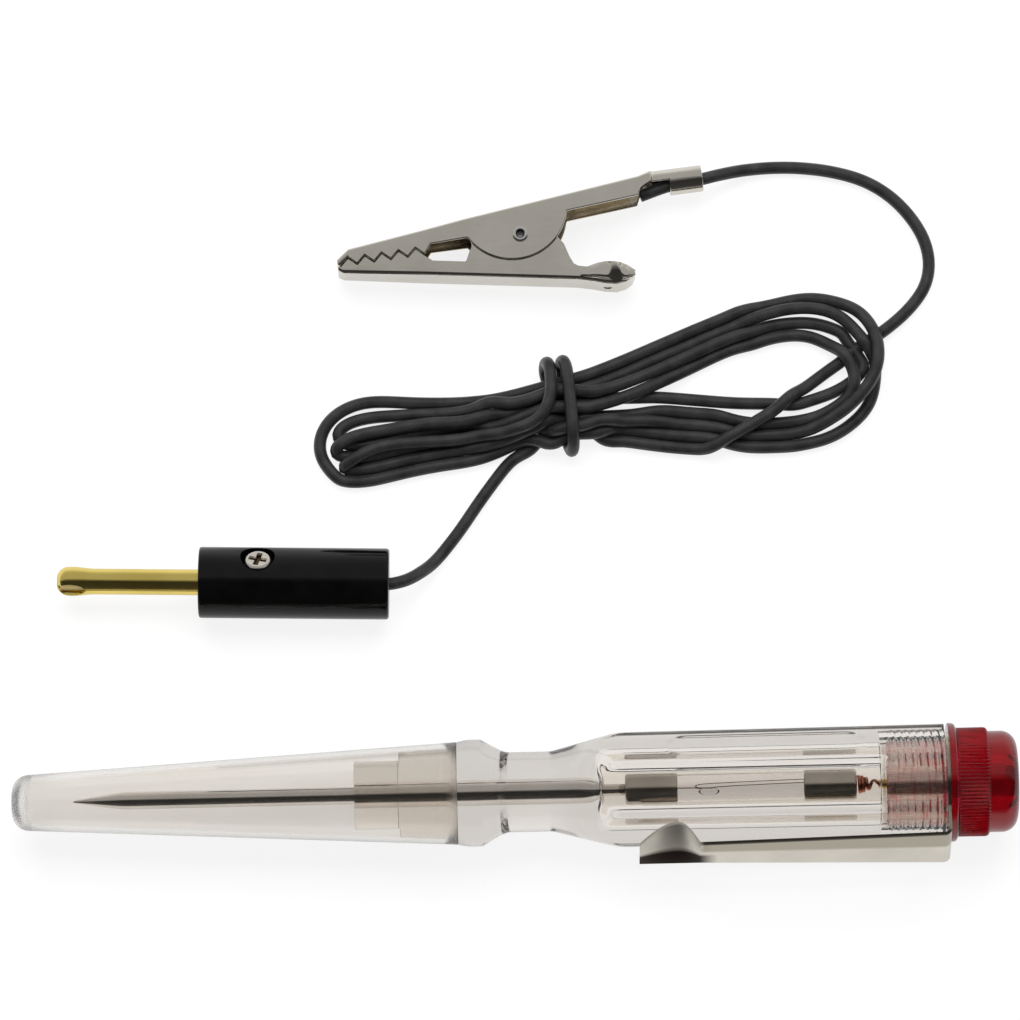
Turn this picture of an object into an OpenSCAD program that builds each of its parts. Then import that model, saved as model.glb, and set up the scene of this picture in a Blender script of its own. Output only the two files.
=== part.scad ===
// Pen-type lamp circuit tester, laid out beside its plug-in earth lead.
// Millimetres. +X runs from the probe tip to the red cap, +Z is up, z = 0 is the bench.

/* [Probe cover] */
// Length of the clear cover from its closed tip to its rim
cover_len = 61.2; // [56:0.1:70]
// Outside diameter where the rounded tip ends
cover_tip_d = 7.7; // [6.5:0.1:9]
// Outside diameter at the open rim
cover_rim_d = 14.1; // [13.4:0.1:15]
// Wall thickness of the cover
cover_wall = 0.65; // [0.4:0.05:1]
// Radius that rounds the closed tip
cover_tip_round = 2.4; // [1.5:0.1:3]
// Gap between the cover's bore and the nose it grips
cover_fit = 0.03; // [0.02:0.01:0.1]

/* [Barrel] */
// Length from the collar's front face to the rear end of the hexagon
barrel_len = 67.1; // [62:0.1:75]
// Width across the flats at the rear end
barrel_flats = 14.2; // [13.6:0.1:16]
// How much narrower the flats are where the hexagon starts
barrel_draft = 0.4; // [0:0.05:0.8]
// Length of the nose section that the cover grips
grip_len = 7.9; // [5:0.1:10]
// Length of the slimmer nose section in front of it
nose_len = 6.2; // [4:0.1:9]
// Diameter of that slimmer nose section
nose_d = 9.4; // [7:0.1:10]
// Largest diameter of the collar
collar_d = 14.7; // [14.2:0.1:16]
// Length of the collar's cylindrical band
collar_len = 3.3; // [2:0.1:5]
// Length of the chamfer from the collar down to the neck
collar_chamfer = 2.9; // [2:0.1:4]
// Diameter of the neck
neck_d = 11; // [9:0.1:12]
// Length of the neck
neck_len = 6.8; // [4:0.1:10]
// Length of the cone from the neck up to the full hexagon
flare_len = 9.4; // [7:0.1:12]

/* [Lamp chamber] */
// Diameter of the bore that holds the lamp
chamber_d = 7; // [6.6:0.1:8]
// Depth of the threaded mouth that takes the cap's spigot
mouth_depth = 9; // [7:0.1:11]
// Length of the probe's bare end inside the chamber
probe_stub = 3.5; // [1:0.1:6]

/* [Probe] */
// Diameter of the steel probe
probe_d = 2.4; // [1.8:0.1:3]
// Length of the ground point
probe_point = 7; // [3:0.1:12]
// Length of bare probe in front of the nose
probe_reach = 38.7; // [30:0.1:42]

/* [Lamp] */
// Diameter of the lamp's end ferrules
ferrule_d = 6.35; // [5.5:0.05:6.5]
// Overall length of the lamp
lamp_len = 31.8; // [28:0.1:34]
// Length of each ferrule
ferrule_len = 7.2; // [5:0.1:9]
// Diameter of the glass tube between the ferrules
glass_d = 6; // [5:0.1:6.2]
// Wall thickness of the glass tube
glass_wall = 0.5; // [0.3:0.05:0.8]
// Thickness of the filament and its support wire
filament_d = 0.2; // [0.1:0.05:0.4]
// How far the support wire's hook stands out of the front ferrule
hook_reach = 2.4; // [1.5:0.1:4]
// Radius of the glass bead on the support wire
bead_r = 0.85; // [0.5:0.05:1.2]

/* [End cap] */
// Diameter of the thin flange against the barrel
flange_d = 16.4; // [16.2:0.1:18]
// Thickness of the flange
flange_len = 1.2; // [0.8:0.1:2]
// Diameter over the grip ribs
knurl_d = 15; // [14.5:0.1:16]
// Length of the ribbed band
knurl_len = 4.3; // [3:0.1:6]
// Number of grip ribs
knurl_count = 90; // [40:1:100]
// Depth of the grooves between the ribs
knurl_depth = 0.2; // [0.1:0.05:0.4]
// Diameter of the smooth end
dome_d = 14; // [13:0.1:14.4]
// Length of the smooth end
dome_len = 4; // [3:0.1:6]
// Radius that rounds the smooth end
dome_round = 2.2; // [1:0.1:2.8]
// Diameter of the spigot that screws into the barrel
spigot_d = 11.7; // [10:0.1:12]
// Length of the spigot in front of the flange's clip ring
spigot_len = 8.3; // [6:0.1:8.8]
// Gap between the spigot and the mouth of the barrel
thread_gap = 0.1; // [0.05:0.05:0.2]

/* [Lead socket] */
// Bore of the brass socket that takes the plug's pin
socket_d = 4; // [3.5:0.1:4.4]
// Wall thickness of the brass socket
socket_wall = 0.5; // [0.3:0.05:0.8]
// Depth of the plain hole in the cap outside the brass socket
socket_recess = 2; // [1:0.1:3]
// Wire thickness of the spring between socket and lamp
spring_wire = 0.5; // [0.3:0.05:0.7]
// Number of turns in that spring
spring_turns = 3.5; // [2:0.5:5]
// Length of that spring with the cap screwed home
spring_len = 4; // [3:0.1:5]

/* [Pocket clip] */
// Sheet thickness of the pocket clip
clip_t = 0.4; // [0.3:0.05:0.6]
// Gap between the pocket clip's arm and the barrel
clip_gap = 2.9; // [1.5:0.1:4]
// Width of the arm at the ring
arm_w = 7.7; // [5:0.1:9]
// Width of the arm before its curled tip
arm_tip_w = 5; // [3:0.1:6]
// Length of the arm's straight part
arm_len = 34; // [25:0.1:42]
// Length of the curled tip
curl_len = 8.3; // [5:0.1:10]
// Outside diameter of the ring under the flange
ring_d = 14; // [13:0.1:15]

/* [Plug] */
// Diameter of the plug's sleeve
sleeve_d = 9.9; // [9:0.1:12]
// Length of the plug's sleeve
sleeve_len = 26.4; // [22:0.1:32]
// Length of bare pin in front of the sleeve
pin_len = 19.7; // [15:0.1:22]
// Diameter of the rolled pin
pin_d = 3.6; // [3.2:0.1:3.8]
// Diameter of the bulge at the pin's end
pin_bulge_d = 4.1; // [3.9:0.1:4.4]
// Thickness of the pin's sheet
pin_wall = 0.4; // [0.3:0.05:0.6]
// Diameter of the metal body inside the sleeve
core_d = 6; // [5:0.1:6.6]
// Length of the metal body inside the sleeve
core_len = 14.7; // [12:0.1:18]
// Diameter of the clamp screw's head
screw_d = 3.8; // [3:0.1:4.4]
// Diameter of the access hole over the screw
screw_hole_d = 4.8; // [4.5:0.1:5.4]
// Distance from the sleeve's front face to the screw
screw_from_front = 8.3; // [6:0.1:11]
// How far the screw leans from upright
screw_lean = 38; // [0:1:60]

/* [Crocodile clip] */
// Sheet thickness of the jaws
jaw_t = 0.45; // [0.35:0.05:0.55]
// Outside width over the pivot ears
jaw_w = 6.9; // [6.4:0.1:8.5]
// Outside width at the jaw tips
jaw_tip_w = 4.7; // [4:0.1:5.4]
// Side gap between the two jaws' ears
ear_gap = 0.1; // [0.05:0.05:0.2]
// Distance from the pivot to the jaw tips
jaw_reach = 25.9; // [24:0.1:32]
// Number of teeth
tooth_count = 5; // [3:1:6]
// Distance from one tooth to the next
tooth_pitch = 2.38; // [2:0.02:2.5]
// Depth of the teeth
tooth_depth = 1.1; // [0.5:0.1:1.4]
// Gap between the closed teeth
tooth_gap = 0.24; // [0.1:0.02:0.3]
// Diameter of the hollow rivet
rivet_d = 1.6; // [1.4:0.1:2]
// Diameter of the hole through the rivet
rivet_bore_d = 1.1; // [0.6:0.1:1.2]
// Thickness of the rivet's rolled heads
rivet_head_t = 0.25; // [0.15:0.05:0.4]
// Diameter of the rolled wire holder
holder_d = 3.7; // [3.3:0.1:4.4]
// Length of the rolled wire holder
holder_len = 7.2; // [5:0.1:10]

/* [Lead] */
// Diameter of the wire
wire_d = 1.75; // [1.4:0.05:2]
// Height of the tied hank
hank_h = 4.5; // [3:0.1:6]

/* [Hidden] */
$fn = 64;
eps = 0.01;

// Stations along the pen, counted from the collar's front face towards the cap
grip_start = -grip_len;
nose_start = grip_start - nose_len;
probe_tip = nose_start - probe_reach;
neck_start = collar_len + collar_chamfer;
flare_start = neck_start + neck_len;
flare_end = flare_start + flare_len;
mouth_start = barrel_len - mouth_depth;
flange_start = barrel_len + clip_t;
knurl_start = flange_start + flange_len;
dome_start = knurl_start + knurl_len;
cap_end = dome_start + dome_len;
spigot_start = barrel_len - spigot_len;
lamp_end = spigot_start - spring_len;
lamp_start = lamp_end - lamp_len;
chamber_start = lamp_start - probe_stub;

// Radii that other pieces take theirs from
cover_slope = (cover_rim_d - cover_tip_d) / 2 / (cover_len - cover_tip_round);
function cover_r(from_tip) = cover_tip_d / 2 + cover_slope * max(0, from_tip - cover_tip_round);
function cover_bore_r(from_tip) = cover_r(from_tip) - cover_wall;
grip_front_r = cover_bore_r(cover_len - grip_len) - cover_fit;
grip_rear_r = cover_bore_r(cover_len) - cover_fit;
ferrule_t = 0.4;
glass_seat = 0.8;
corner = 2 / sqrt(3);
barrel_rear_r = barrel_flats / 2 * corner;
barrel_front_r = (barrel_flats - barrel_draft) / 2 * corner;
mouth_r = spigot_d / 2 + thread_gap;
socket_r = socket_d / 2;
socket_outer_r = socket_r + socket_wall;

// The pocket clip lies over the side flat that faces up and to -Y
flat_tilt = 69;
arm_in = barrel_flats / 2 + clip_gap;
arm_out = arm_in + clip_t;
clip_reach = arm_out * sin(flat_tilt) + arm_w / 2 * cos(flat_tilt);
clip_bend = 1;
clip_x = barrel_len + clip_t;
clip_turn = flat_tilt + 180;

// The pen lies on its widest round part, and its box is centred on the origin
widest_r = max(flange_d, collar_d, cover_rim_d, knurl_d, barrel_flats) / 2;
pen_back = max(widest_r, barrel_rear_r);
pen_x = (cover_len - cap_end) / 2;
pen_y = (clip_reach - pen_back) / 2;
pen_z = widest_r;

// Plug and clip placement on the bench
plug_end = [-16.7, 31.6];
plug_yaw = -1.8;
plug_z = sleeve_d / 2;
core_rear = -sleeve_len + 1 + core_len;
clip_pivot = [2.6, 80.6];
clip_yaw = 6.3;
clip_z = rivet_head_t;

// Crocodile clip, in its own frame: pivot at the origin, tips towards -x
inner_jaw_w = jaw_w - 2 * (jaw_t + ear_gap);
bend_r = 0.55;
web_slope = 0.117;
upper_web_y = 4.2;
lower_web_slope = -0.163;
lower_web_y = -6.2;
mouth_y = -0.5;
bevel = 1.8;
ear_r = 7.75;
ear_centre = [-0.6, 4.3];
lower_ear_r = 3.25;
lower_ear_from = 150;
lower_ear_to = 10;
upper_rear = 17.5;
first_tooth = -jaw_reach + 0.4;
teeth_end = first_tooth + tooth_count * tooth_pitch;
taper_end = -7.7;
thumb_start = 7.2;
holder_start = 19.3;
holder_y = 5.45;
holder_cut = 2.5;
spring_r = 1.5;
jaw_spring_wire = 0.6;
jaw_spring_turns = 4;

// Wire route, chosen by hand: out of the plug, under the hank, and from the hank to the clip
plug_tail = [
    [-16.7, 31.6, 4.95], [-14.5, 32.2, 4.18], [-12.4, 33.5, 2.82], [-10.3, 35.4, 1.65], [-8.6, 37.4, 1.07],
    [-6.7, 39.8, 0.88], [-3.9, 43.8, 0.88], [-1, 47.6, 0.88], [0.5, 49.4, 0.88]
];
clip_tail = [
    [19.6, 86.6, 3.35], [23.7, 88, 3.35], [28.4, 88.9, 3.3], [30.9, 89.6, 2.72], [34.5, 90.5, 1.46],
    [38.8, 90.9, 0.88], [43, 90.7, 0.88], [47.2, 90, 0.88], [51.4, 88.6, 0.88], [54.9, 86.3, 0.88],
    [57.6, 83.3, 0.88], [59.4, 80, 0.88], [60, 76.8, 0.88], [59.4, 73.5, 0.88], [57.6, 70.8, 0.88],
    [55.3, 68.5, 0.88], [52.9, 66.7, 0.88], [50.6, 65, 0.88]
];
hank_left = [-21.2, 52.4];
hank_left_r = 5.8;
hank_right = [43, 61.6];
hank_right_r = 9.8;

// Places a piece that is turned about z onto the pen's axis
module on_pen_axis() {
    translate([pen_x, pen_y, pen_z]) rotate([0, 90, 0]) children();
}

// Places a piece drawn with x along the pen and z out of the clip's side flat
module on_clip_flat() {
    translate([pen_x, pen_y, pen_z]) rotate([flat_tilt, 0, 0]) children();
}

module on_plug() {
    translate([plug_end[0], plug_end[1], plug_z]) rotate([0, 0, plug_yaw]) rotate([0, 90, 0]) children();
}

module on_clip() {
    translate([clip_pivot[0], clip_pivot[1], clip_z]) rotate([0, 0, clip_yaw]) children();
}

// Points on an arc of radius r about c
function arc(c, r, from, to, steps = 8) =
    [for (i = [0 : steps]) let (a = from + (to - from) * i / steps) [c[0] + r * cos(a), c[1] + r * sin(a)]];

// A tube of even thickness along a list of points
function unit(v) = v / norm(v);
function heading(path, i) =
    unit(path[min(i + 1, len(path) - 1)] - path[max(i - 1, 0)]);
module tube_along(path, r, sides = 8, across = [0, 0, 1]) {
    rings = [for (i = [0 : len(path) - 1])
        let (d = heading(path, i), s = unit(cross(across, d)), t = cross(d, s))
        for (k = [0 : sides - 1]) path[i] + r * (cos(360 * k / sides) * s + sin(360 * k / sides) * t)];
    last = (len(path) - 1) * sides;
    polyhedron(rings, concat(
        [[for (k = [0 : sides - 1]) k]],
        [for (i = [0 : len(path) - 2], k = [0 : sides - 1])
            let (a = i * sides + k, b = i * sides + (k + 1) % sides)
            each [[b, a, b + sides], [b + sides, a, a + sides]]],
        [[for (k = [0 : sides - 1]) last + sides - 1 - k]]));
}

// Pen
module barrel_front_profile() {
    polygon([
        [0, nose_start], [nose_d / 2 - 0.3, nose_start], [nose_d / 2, nose_start + 0.3],
        [nose_d / 2, grip_start], [grip_front_r, grip_start], [grip_rear_r, 0],
        [cover_rim_d / 2, 0], [collar_d / 2, collar_len * 0.45], [collar_d / 2, collar_len],
        [neck_d / 2 + 0.3, neck_start], [neck_d / 2, neck_start + 0.6],
        [neck_d / 2, flare_start + eps], [0, flare_start + eps]
    ]);
}

module barrel() {
    color([0.93, 0.93, 0.9, 0.35]) on_pen_axis() difference() {
        union() {
            rotate_extrude() barrel_front_profile();
            intersection() {
                translate([0, 0, flare_start]) rotate([0, 0, flat_tilt - 30])
                    cylinder(h = barrel_len - flare_start, r1 = barrel_front_r, r2 = barrel_rear_r, $fn = 6);
                rotate_extrude() polygon([
                    [0, flare_start], [neck_d / 2, flare_start], [barrel_front_r, flare_end],
                    [barrel_rear_r + 1, flare_end + 6], [barrel_rear_r + 1, barrel_len], [0, barrel_len]
                ]);
            }
        }
        translate([0, 0, nose_start - 1]) cylinder(h = chamber_start - nose_start + 2, d = probe_d);
        translate([0, 0, chamber_start]) cylinder(h = barrel_len, d = chamber_d);
        translate([0, 0, mouth_start]) cylinder(h = mouth_depth + 1, r = mouth_r);
    }
}

module probe() {
    color([0.62, 0.62, 0.63]) on_pen_axis() rotate_extrude() polygon([
        [0, probe_tip], [0.12, probe_tip + 0.1], [probe_d / 2, probe_tip + probe_point],
        [probe_d / 2, lamp_start - 0.2], [probe_d / 2 - 0.2, lamp_start], [0, lamp_start]
    ]);
}

module probe_cover() {
    tip_r = cover_tip_d / 2;
    bore_tip_r = tip_r - cover_wall;
    bore_round = max(0.5, cover_tip_round - cover_wall);
    color([0.95, 0.95, 0.92, 0.3]) on_pen_axis() translate([0, 0, -cover_len])
    rotate_extrude() polygon(concat(
        [[0, 0]],
        arc([tip_r - cover_tip_round, cover_tip_round], cover_tip_round, -90, 0),
        [[cover_rim_d / 2, cover_len], [cover_bore_r(cover_len), cover_len]],
        arc([bore_tip_r - bore_round, 2 * cover_wall + bore_round], bore_round, 0, -90),
        [[0, 2 * cover_wall]]
    ));
}

module end_cap() {
    rib = 360 / knurl_count;
    rib_end = dome_start - 0.4;
    color([0.72, 0.03, 0.05]) on_pen_axis() difference() {
        union() {
            translate([0, 0, spigot_start]) cylinder(h = flange_start - spigot_start + eps, d = spigot_d);
            translate([0, 0, flange_start]) cylinder(h = flange_len + eps, d = flange_d);
            translate([0, 0, knurl_start]) linear_extrude(rib_end - knurl_start) polygon([
                for (i = [0 : knurl_count - 1]) each [
                    knurl_d / 2 * [cos(i * rib), sin(i * rib)],
                    (knurl_d / 2 - knurl_depth) * [cos((i + 0.5) * rib), sin((i + 0.5) * rib)]
                ]]);
            rotate_extrude() polygon(concat(
                [[0, knurl_start], [dome_d / 2 + 0.1, knurl_start],
                 [dome_d / 2 + 0.1, rib_end], [dome_d / 2, dome_start]],
                arc([dome_d / 2 - dome_round, cap_end - dome_round], dome_round, 0, 90),
                [[0, cap_end]]
            ));
        }
        translate([0, 0, cap_end - socket_recess - eps]) cylinder(h = socket_recess + 1, d = socket_d + 0.4);
        translate([0, 0, spigot_start - 1])
            cylinder(h = cap_end - socket_recess - spigot_start + 1, r = socket_outer_r);
    }
}

module socket_contact() {
    floor_t = 0.8;
    nib_r = 0.9;
    color([0.8, 0.65, 0.3]) on_pen_axis() difference() {
        union() {
            translate([0, 0, spigot_start])
                cylinder(h = cap_end - socket_recess - spigot_start, r = socket_outer_r);
            translate([0, 0, spigot_start - 1]) cylinder(h = 1 + eps, r = nib_r);
        }
        translate([0, 0, spigot_start + floor_t]) cylinder(h = cap_end, r = socket_r);
    }
}

module contact_spring() {
    steps = 12 * spring_turns;
    run = spring_len - spring_wire;
    path = [for (i = [0 : steps])
        let (a = 30 * i, r = 2 - 0.6 * i / steps)
        [r * cos(a), r * sin(a), lamp_end + spring_wire / 2 + run * i / steps]];
    color([0.72, 0.45, 0.3]) on_pen_axis() tube_along(path, spring_wire / 2, 6);
}

module lamp_glass() {
    inner_r = glass_d / 2 - glass_wall;
    lip = ferrule_len - glass_seat;
    color([0.9, 0.92, 0.95, 0.3]) on_pen_axis() translate([0, 0, lamp_start]) difference() {
        translate([0, 0, lip]) cylinder(h = lamp_len - 2 * lip, d = glass_d);
        translate([0, 0, lip - 1]) cylinder(h = lamp_len - 2 * lip + 2, r = inner_r);
    }
}

// A pressed cup with its mouth towards the middle of the lamp and a seat for the glass
module ferrule() {
    color([0.78, 0.78, 0.77]) difference() {
        rotate_extrude() polygon([
            [0, 0], [ferrule_d / 2 - ferrule_t, 0], [ferrule_d / 2, ferrule_t], [ferrule_d / 2, ferrule_len],
            [0, ferrule_len]
        ]);
        translate([0, 0, ferrule_len - glass_seat]) cylinder(h = 2 * glass_seat, d = glass_d);
        translate([0, 0, ferrule_t]) cylinder(h = ferrule_len, r = glass_d / 2 - glass_wall);
    }
}

module lamp_ferrule_front() {
    on_pen_axis() translate([0, 0, lamp_start]) ferrule();
}

module lamp_ferrule_rear() {
    on_pen_axis() translate([0, 0, lamp_end]) mirror([0, 0, 1]) ferrule();
}

// Front support wire with its hook and bead, and the filament's two legs to the rear ferrule
module lamp_filament() {
    hook = lamp_start + ferrule_len + hook_reach;
    rear = lamp_end - ferrule_t;
    far = glass_d * 0.27;
    near = far * 0.56;
    hook_w = hook_reach * 0.2;
    support = [[0, 0, lamp_start + ferrule_t], [0, 0, hook], [0, filament_d / 2, hook + hook_reach]];
    legs = [
        [0, far, rear], [0, hook_w * 1.5, hook + hook_w * 1.5], [0, hook_w, hook + hook_w * 0.3],
        [0, hook_w / 2, hook + hook_w * 0.2], [0, 0, hook + hook_w], [0, near, rear]
    ];
    color([0.6, 0.4, 0.3]) on_pen_axis() {
        tube_along(support, filament_d / 2, 6, [1, 0, 0]);
        tube_along(legs, filament_d / 2, 6, [1, 0, 0]);
        translate([0, filament_d / 2 - bead_r, hook + hook_reach * 0.8])
            scale([1, 1, 1.7]) sphere(r = bead_r, $fn = 24);
    }
}

// How far the tip is pinched in towards the barrel, from 0 at the arm over 1 to 0 at the end
function pinch(t) = t < 0.35 ? sin(90 * t / 0.35) : cos(90 * (t - 0.35) / 0.65);

// One strip of sheet through its four corners at each station: the bend, the arm and the curled tip
module clip_strip(steps = 12) {
    bend = [for (a = [0 : 15 : 90])
        let (x = clip_x - clip_bend, z = arm_out - clip_bend, c = cos(a), s = sin(a), r = clip_bend - clip_t)
        [[x + clip_bend * c, -arm_w / 2, z + clip_bend * s],
         [x + clip_bend * c, arm_w / 2, z + clip_bend * s],
         [x + r * c, arm_w / 2, z + r * s], [x + r * c, -arm_w / 2, z + r * s]]];
    tip = [for (i = [0 : steps])
        let (t = i / steps, x = barrel_len - arm_len - curl_len * t, p = pinch(t), half = arm_tip_w / 2,
             lift = (clip_gap - 0.1) * p, top = half + 0.8 * p)
        [[x, -half, arm_out], [x, top, arm_out - lift], [x, top, arm_in - lift], [x, -half, arm_in]]];
    sections = concat(bend, tip);
    last = 4 * (len(sections) - 1);
    polyhedron([for (s = sections) each s], concat(
        [[0, 1, 2, 3]],
        [for (i = [0 : len(sections) - 2], k = [0 : 3])
            let (a = 4 * i + k, b = 4 * i + (k + 1) % 4) each [[b, a, a + 4], [b, a + 4, b + 4]]],
        [[last + 3, last + 2, last + 1, last]]));
}

module pocket_clip() {
    color([0.72, 0.7, 0.66]) {
        on_pen_axis() translate([0, 0, barrel_len]) difference() {
            linear_extrude(clip_t) union() {
                circle(d = ring_d);
                rotate([0, 0, clip_turn]) translate([0, -arm_w / 2]) square([arm_out - clip_bend, arm_w]);
            }
            translate([0, 0, -1]) cylinder(h = clip_t + 2, d = spigot_d + 0.3);
        }
        on_clip_flat() clip_strip();
    }
}

// Plug, in a frame where z runs towards the wire and z = 0 is the sleeve's wire end
module screw_axis() {
    translate([0, 0, -sleeve_len + screw_from_front])
        rotate([0, 0, -screw_lean]) rotate([0, -90, 0]) children();
}

module plug_sleeve() {
    r = sleeve_d / 2;
    edge = 0.4;
    color([0.04, 0.04, 0.05]) on_plug() difference() {
        rotate_extrude() polygon([
            [0, -sleeve_len], [r - edge, -sleeve_len], [r, -sleeve_len + edge],
            [r, -edge], [r - edge, 0], [0, 0]
        ]);
        translate([0, 0, -sleeve_len - 1]) cylinder(h = core_rear + sleeve_len + 1, d = core_d);
        translate([0, 0, core_rear - 1]) cylinder(h = 1 - core_rear + 1, d = wire_d + 0.4);
        screw_axis() cylinder(h = sleeve_d, d = screw_hole_d);
    }
}

module plug_core() {
    color([0.75, 0.73, 0.7]) on_plug() difference() {
        translate([0, 0, -sleeve_len + 1]) cylinder(h = core_len, d = core_d);
        translate([0, 0, -sleeve_len]) cylinder(h = 5, d = pin_d);
        screw_axis() translate([0, 0, -1]) cylinder(h = core_d, d = 2.5);
    }
}

module plug_pin() {
    r = pin_d / 2;
    bulge_r = pin_bulge_d / 2;
    front = -sleeve_len - pin_len;
    seat = -sleeve_len + 5;
    inner_r = r - pin_wall;
    color([0.85, 0.68, 0.25]) on_plug() difference() {
        rotate_extrude() polygon([
            [0, front], [bulge_r - 1.2, front], [bulge_r - 0.4, front + 0.4], [bulge_r, front + 1.2],
            [bulge_r, front + 2.4], [r, front + 3.6], [r, seat], [0, seat]
        ]);
        translate([0, 0, front + 0.6]) cylinder(h = pin_len + 10, r = inner_r);
        translate([0, 0.55, front - 1]) cube([bulge_r + 1, 0.3, pin_len + 1]);
        translate([0, -bulge_r - 0.3, front + 1.9]) rotate([0, 90, 0]) scale([1.6, 1, 1])
            translate([0, 0, -bulge_r]) cylinder(h = 2 * bulge_r, r = 1.2);
    }
}

module plug_screw() {
    head_top = 4.4;
    color([0.75, 0.75, 0.73]) on_plug() screw_axis() difference() {
        union() {
            translate([0, 0, head_top - 1.3]) cylinder(h = 1.3, d = screw_d);
            translate([0, 0, 0.6]) cylinder(h = head_top - 1, d = 2.5);
        }
        for (a = [0, 90]) rotate([0, 0, a + 20]) translate([-1.1, -0.25, head_top - 0.7]) cube([2.2, 0.5, 1]);
    }
}

// Crocodile clip
// Open channel lofted through stations of [x, web y, width], with its free edges at y = open_y
function channel_section(x, web, w, open_y, up) =
    let (h = w / 2, b = min(bend_r, h * 0.8), m = jaw_w / 2)
    concat(
        [[x, open_y, m + up * h]],
        [for (a = [0 : 30 : 90]) [x, web - up * (b - b * sin(a)), m + up * (h - b + b * cos(a))]],
        [for (a = [90 : 30 : 180]) [x, web - up * (b - b * sin(a)), m - up * (h - b - b * cos(a))]],
        [[x, open_y, m - up * h]]);
module loft(sections) {
    n = len(sections[0]);
    last = (len(sections) - 1) * n;
    polyhedron([for (s = sections) each s], concat(
        [[for (k = [0 : n - 1]) n - 1 - k]],
        [for (i = [0 : len(sections) - 2], k = [0 : n - 1])
            let (a = i * n + k, b = i * n + (k + 1) % n) each [[a, b, b + n], [a, b + n, a + n]]],
        [[for (k = [0 : n - 1]) last + k]]));
}

// Zigzag along the mouth line, from the tip backwards
function teeth(offset) = [for (i = [0 : 2 * tooth_count])
    [first_tooth + i * tooth_pitch / 2,
     mouth_y + (i % 2 == 0 ? -tooth_depth / 2 : tooth_depth / 2) + offset]];

module upper_side() {
    linear_extrude(jaw_w) {
        polygon(concat(
            [[-jaw_reach, 8], [-jaw_reach, mouth_y - 0.2 * tooth_depth]],
            teeth(tooth_gap / 2),
            [[teeth_end + 1, 0.4], [taper_end, 0.5], [0, 0], [6.9, 2.5], [upper_rear - 0.4, 3.4],
             [upper_rear + 0.1, 4.5], [holder_start + 0.15, 5.7], [holder_start + 0.15, 9]]));
        intersection() {
            translate(ear_centre) circle(r = ear_r);
            translate([-jaw_reach, -5]) square([jaw_reach * 2, 10]);
        }
    }
}

// The web bends down at the tips, and behind the handle the channel narrows into the neck
module upper_shell(gap, front) {
    web = function (x) upper_web_y + web_slope * x;
    nose_drop = 1.1;
    neck_w = holder_d * 0.9;
    neck_y = holder_y + holder_d / 2;
    stations = [
        [-jaw_reach + front, web(-jaw_reach) - nose_drop, jaw_tip_w],
        [-jaw_reach + bevel, web(-jaw_reach + bevel), jaw_tip_w + 0.2],
        [teeth_end, web(teeth_end), inner_jaw_w], [taper_end, web(taper_end), jaw_w],
        [upper_rear, web(upper_rear), jaw_w], [holder_start + 0.4, neck_y, neck_w],
        [holder_start + 1.4, neck_y, neck_w]
    ];
    open_y = gap > 0 ? -8 : -6;
    loft([for (s = stations) channel_section(s[0], s[1] - gap, s[2] - 2 * gap, open_y, 1)]);
}

module clip_upper_jaw() {
    color([0.74, 0.73, 0.7]) on_clip() difference() {
        union() {
            difference() {
                intersection() {
                    upper_shell(0, 0);
                    upper_side();
                }
                upper_shell(jaw_t, jaw_t);
            }
            wire_holder();
        }
        translate([0, 0, -1]) cylinder(h = jaw_w + 2, d = rivet_d);
    }
}

// Rolled tube that holds the wire, open below at its front
module wire_holder() {
    mid = jaw_w / 2;
    r = holder_d / 2;
    difference() {
        translate([holder_start, holder_y, mid]) rotate([0, 90, 0]) cylinder(h = holder_len, r = r);
        translate([holder_start - 1, holder_y, mid]) rotate([0, 90, 0])
            cylinder(h = holder_len + 2, r = r - jaw_t);
        translate([holder_start - 1, holder_y - r - 1, 0]) cube([holder_cut + 1, r + 1, jaw_w]);
    }
}

module lower_side() {
    linear_extrude(jaw_w) polygon(concat(
        [[-jaw_reach, mouth_y - 0.2 * tooth_depth - tooth_gap]],
        teeth(-tooth_gap / 2),
        [[teeth_end + 1, -2], [-8, -2.75], [-7, -0.7], [-7, 0.3]],
        arc([0, 0], lower_ear_r, lower_ear_from, lower_ear_to),
        [[5, -0.6], [5.9, -2], [6.5, -4.05], [6.9, -5], [7.7, -5.55], [8.6, -5.7], [10.2, -5.35],
         [11.3, -5.3], [12.8, -5.6], [13.4, -5.7], [14.3, -6.2], [15.1, -6.9],
         [17, -7.6], [17, -10], [0, -10], [-jaw_reach, -3]]));
}

thumb = [[thumb_start + 2.2, -7.95], [thumb_start + 3.7, -8.45], [thumb_start + 5.3, -8.75],
         [thumb_start + 6.6, -8.55], [thumb_start + 7.6, -8], [thumb_start + 8.3, -6.9]];
module lower_shell(gap, front) {
    web = function (x) lower_web_y + lower_web_slope * x;
    stations = concat(
        [[-jaw_reach + front, web(-jaw_reach) + 0.3, jaw_tip_w],
         [-jaw_reach + 0.7, web(-jaw_reach + 0.7), jaw_tip_w + 0.1],
         [teeth_end, web(teeth_end), inner_jaw_w], [thumb_start, web(thumb_start), inner_jaw_w]],
        [for (p = thumb) [p[0] - (p[0] == thumb[5][0] ? front : 0), p[1], inner_jaw_w]]);
    loft([for (s = stations) channel_section(s[0], s[1] + gap, s[2] - 2 * gap, gap > 0 ? 7 : 5, -1)]);
}

module clip_lower_jaw() {
    color([0.76, 0.75, 0.72]) on_clip() difference() {
        intersection() {
            lower_shell(0, 0);
            lower_side();
        }
        lower_shell(jaw_t, jaw_t);
        translate([0, 0, -1]) cylinder(h = jaw_w + 2, d = rivet_d + 0.1);
        translate([11.3, -10, jaw_w / 2]) rotate([-90, 0, 0]) cylinder(h = 4, d = 1.2);
    }
}

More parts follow.
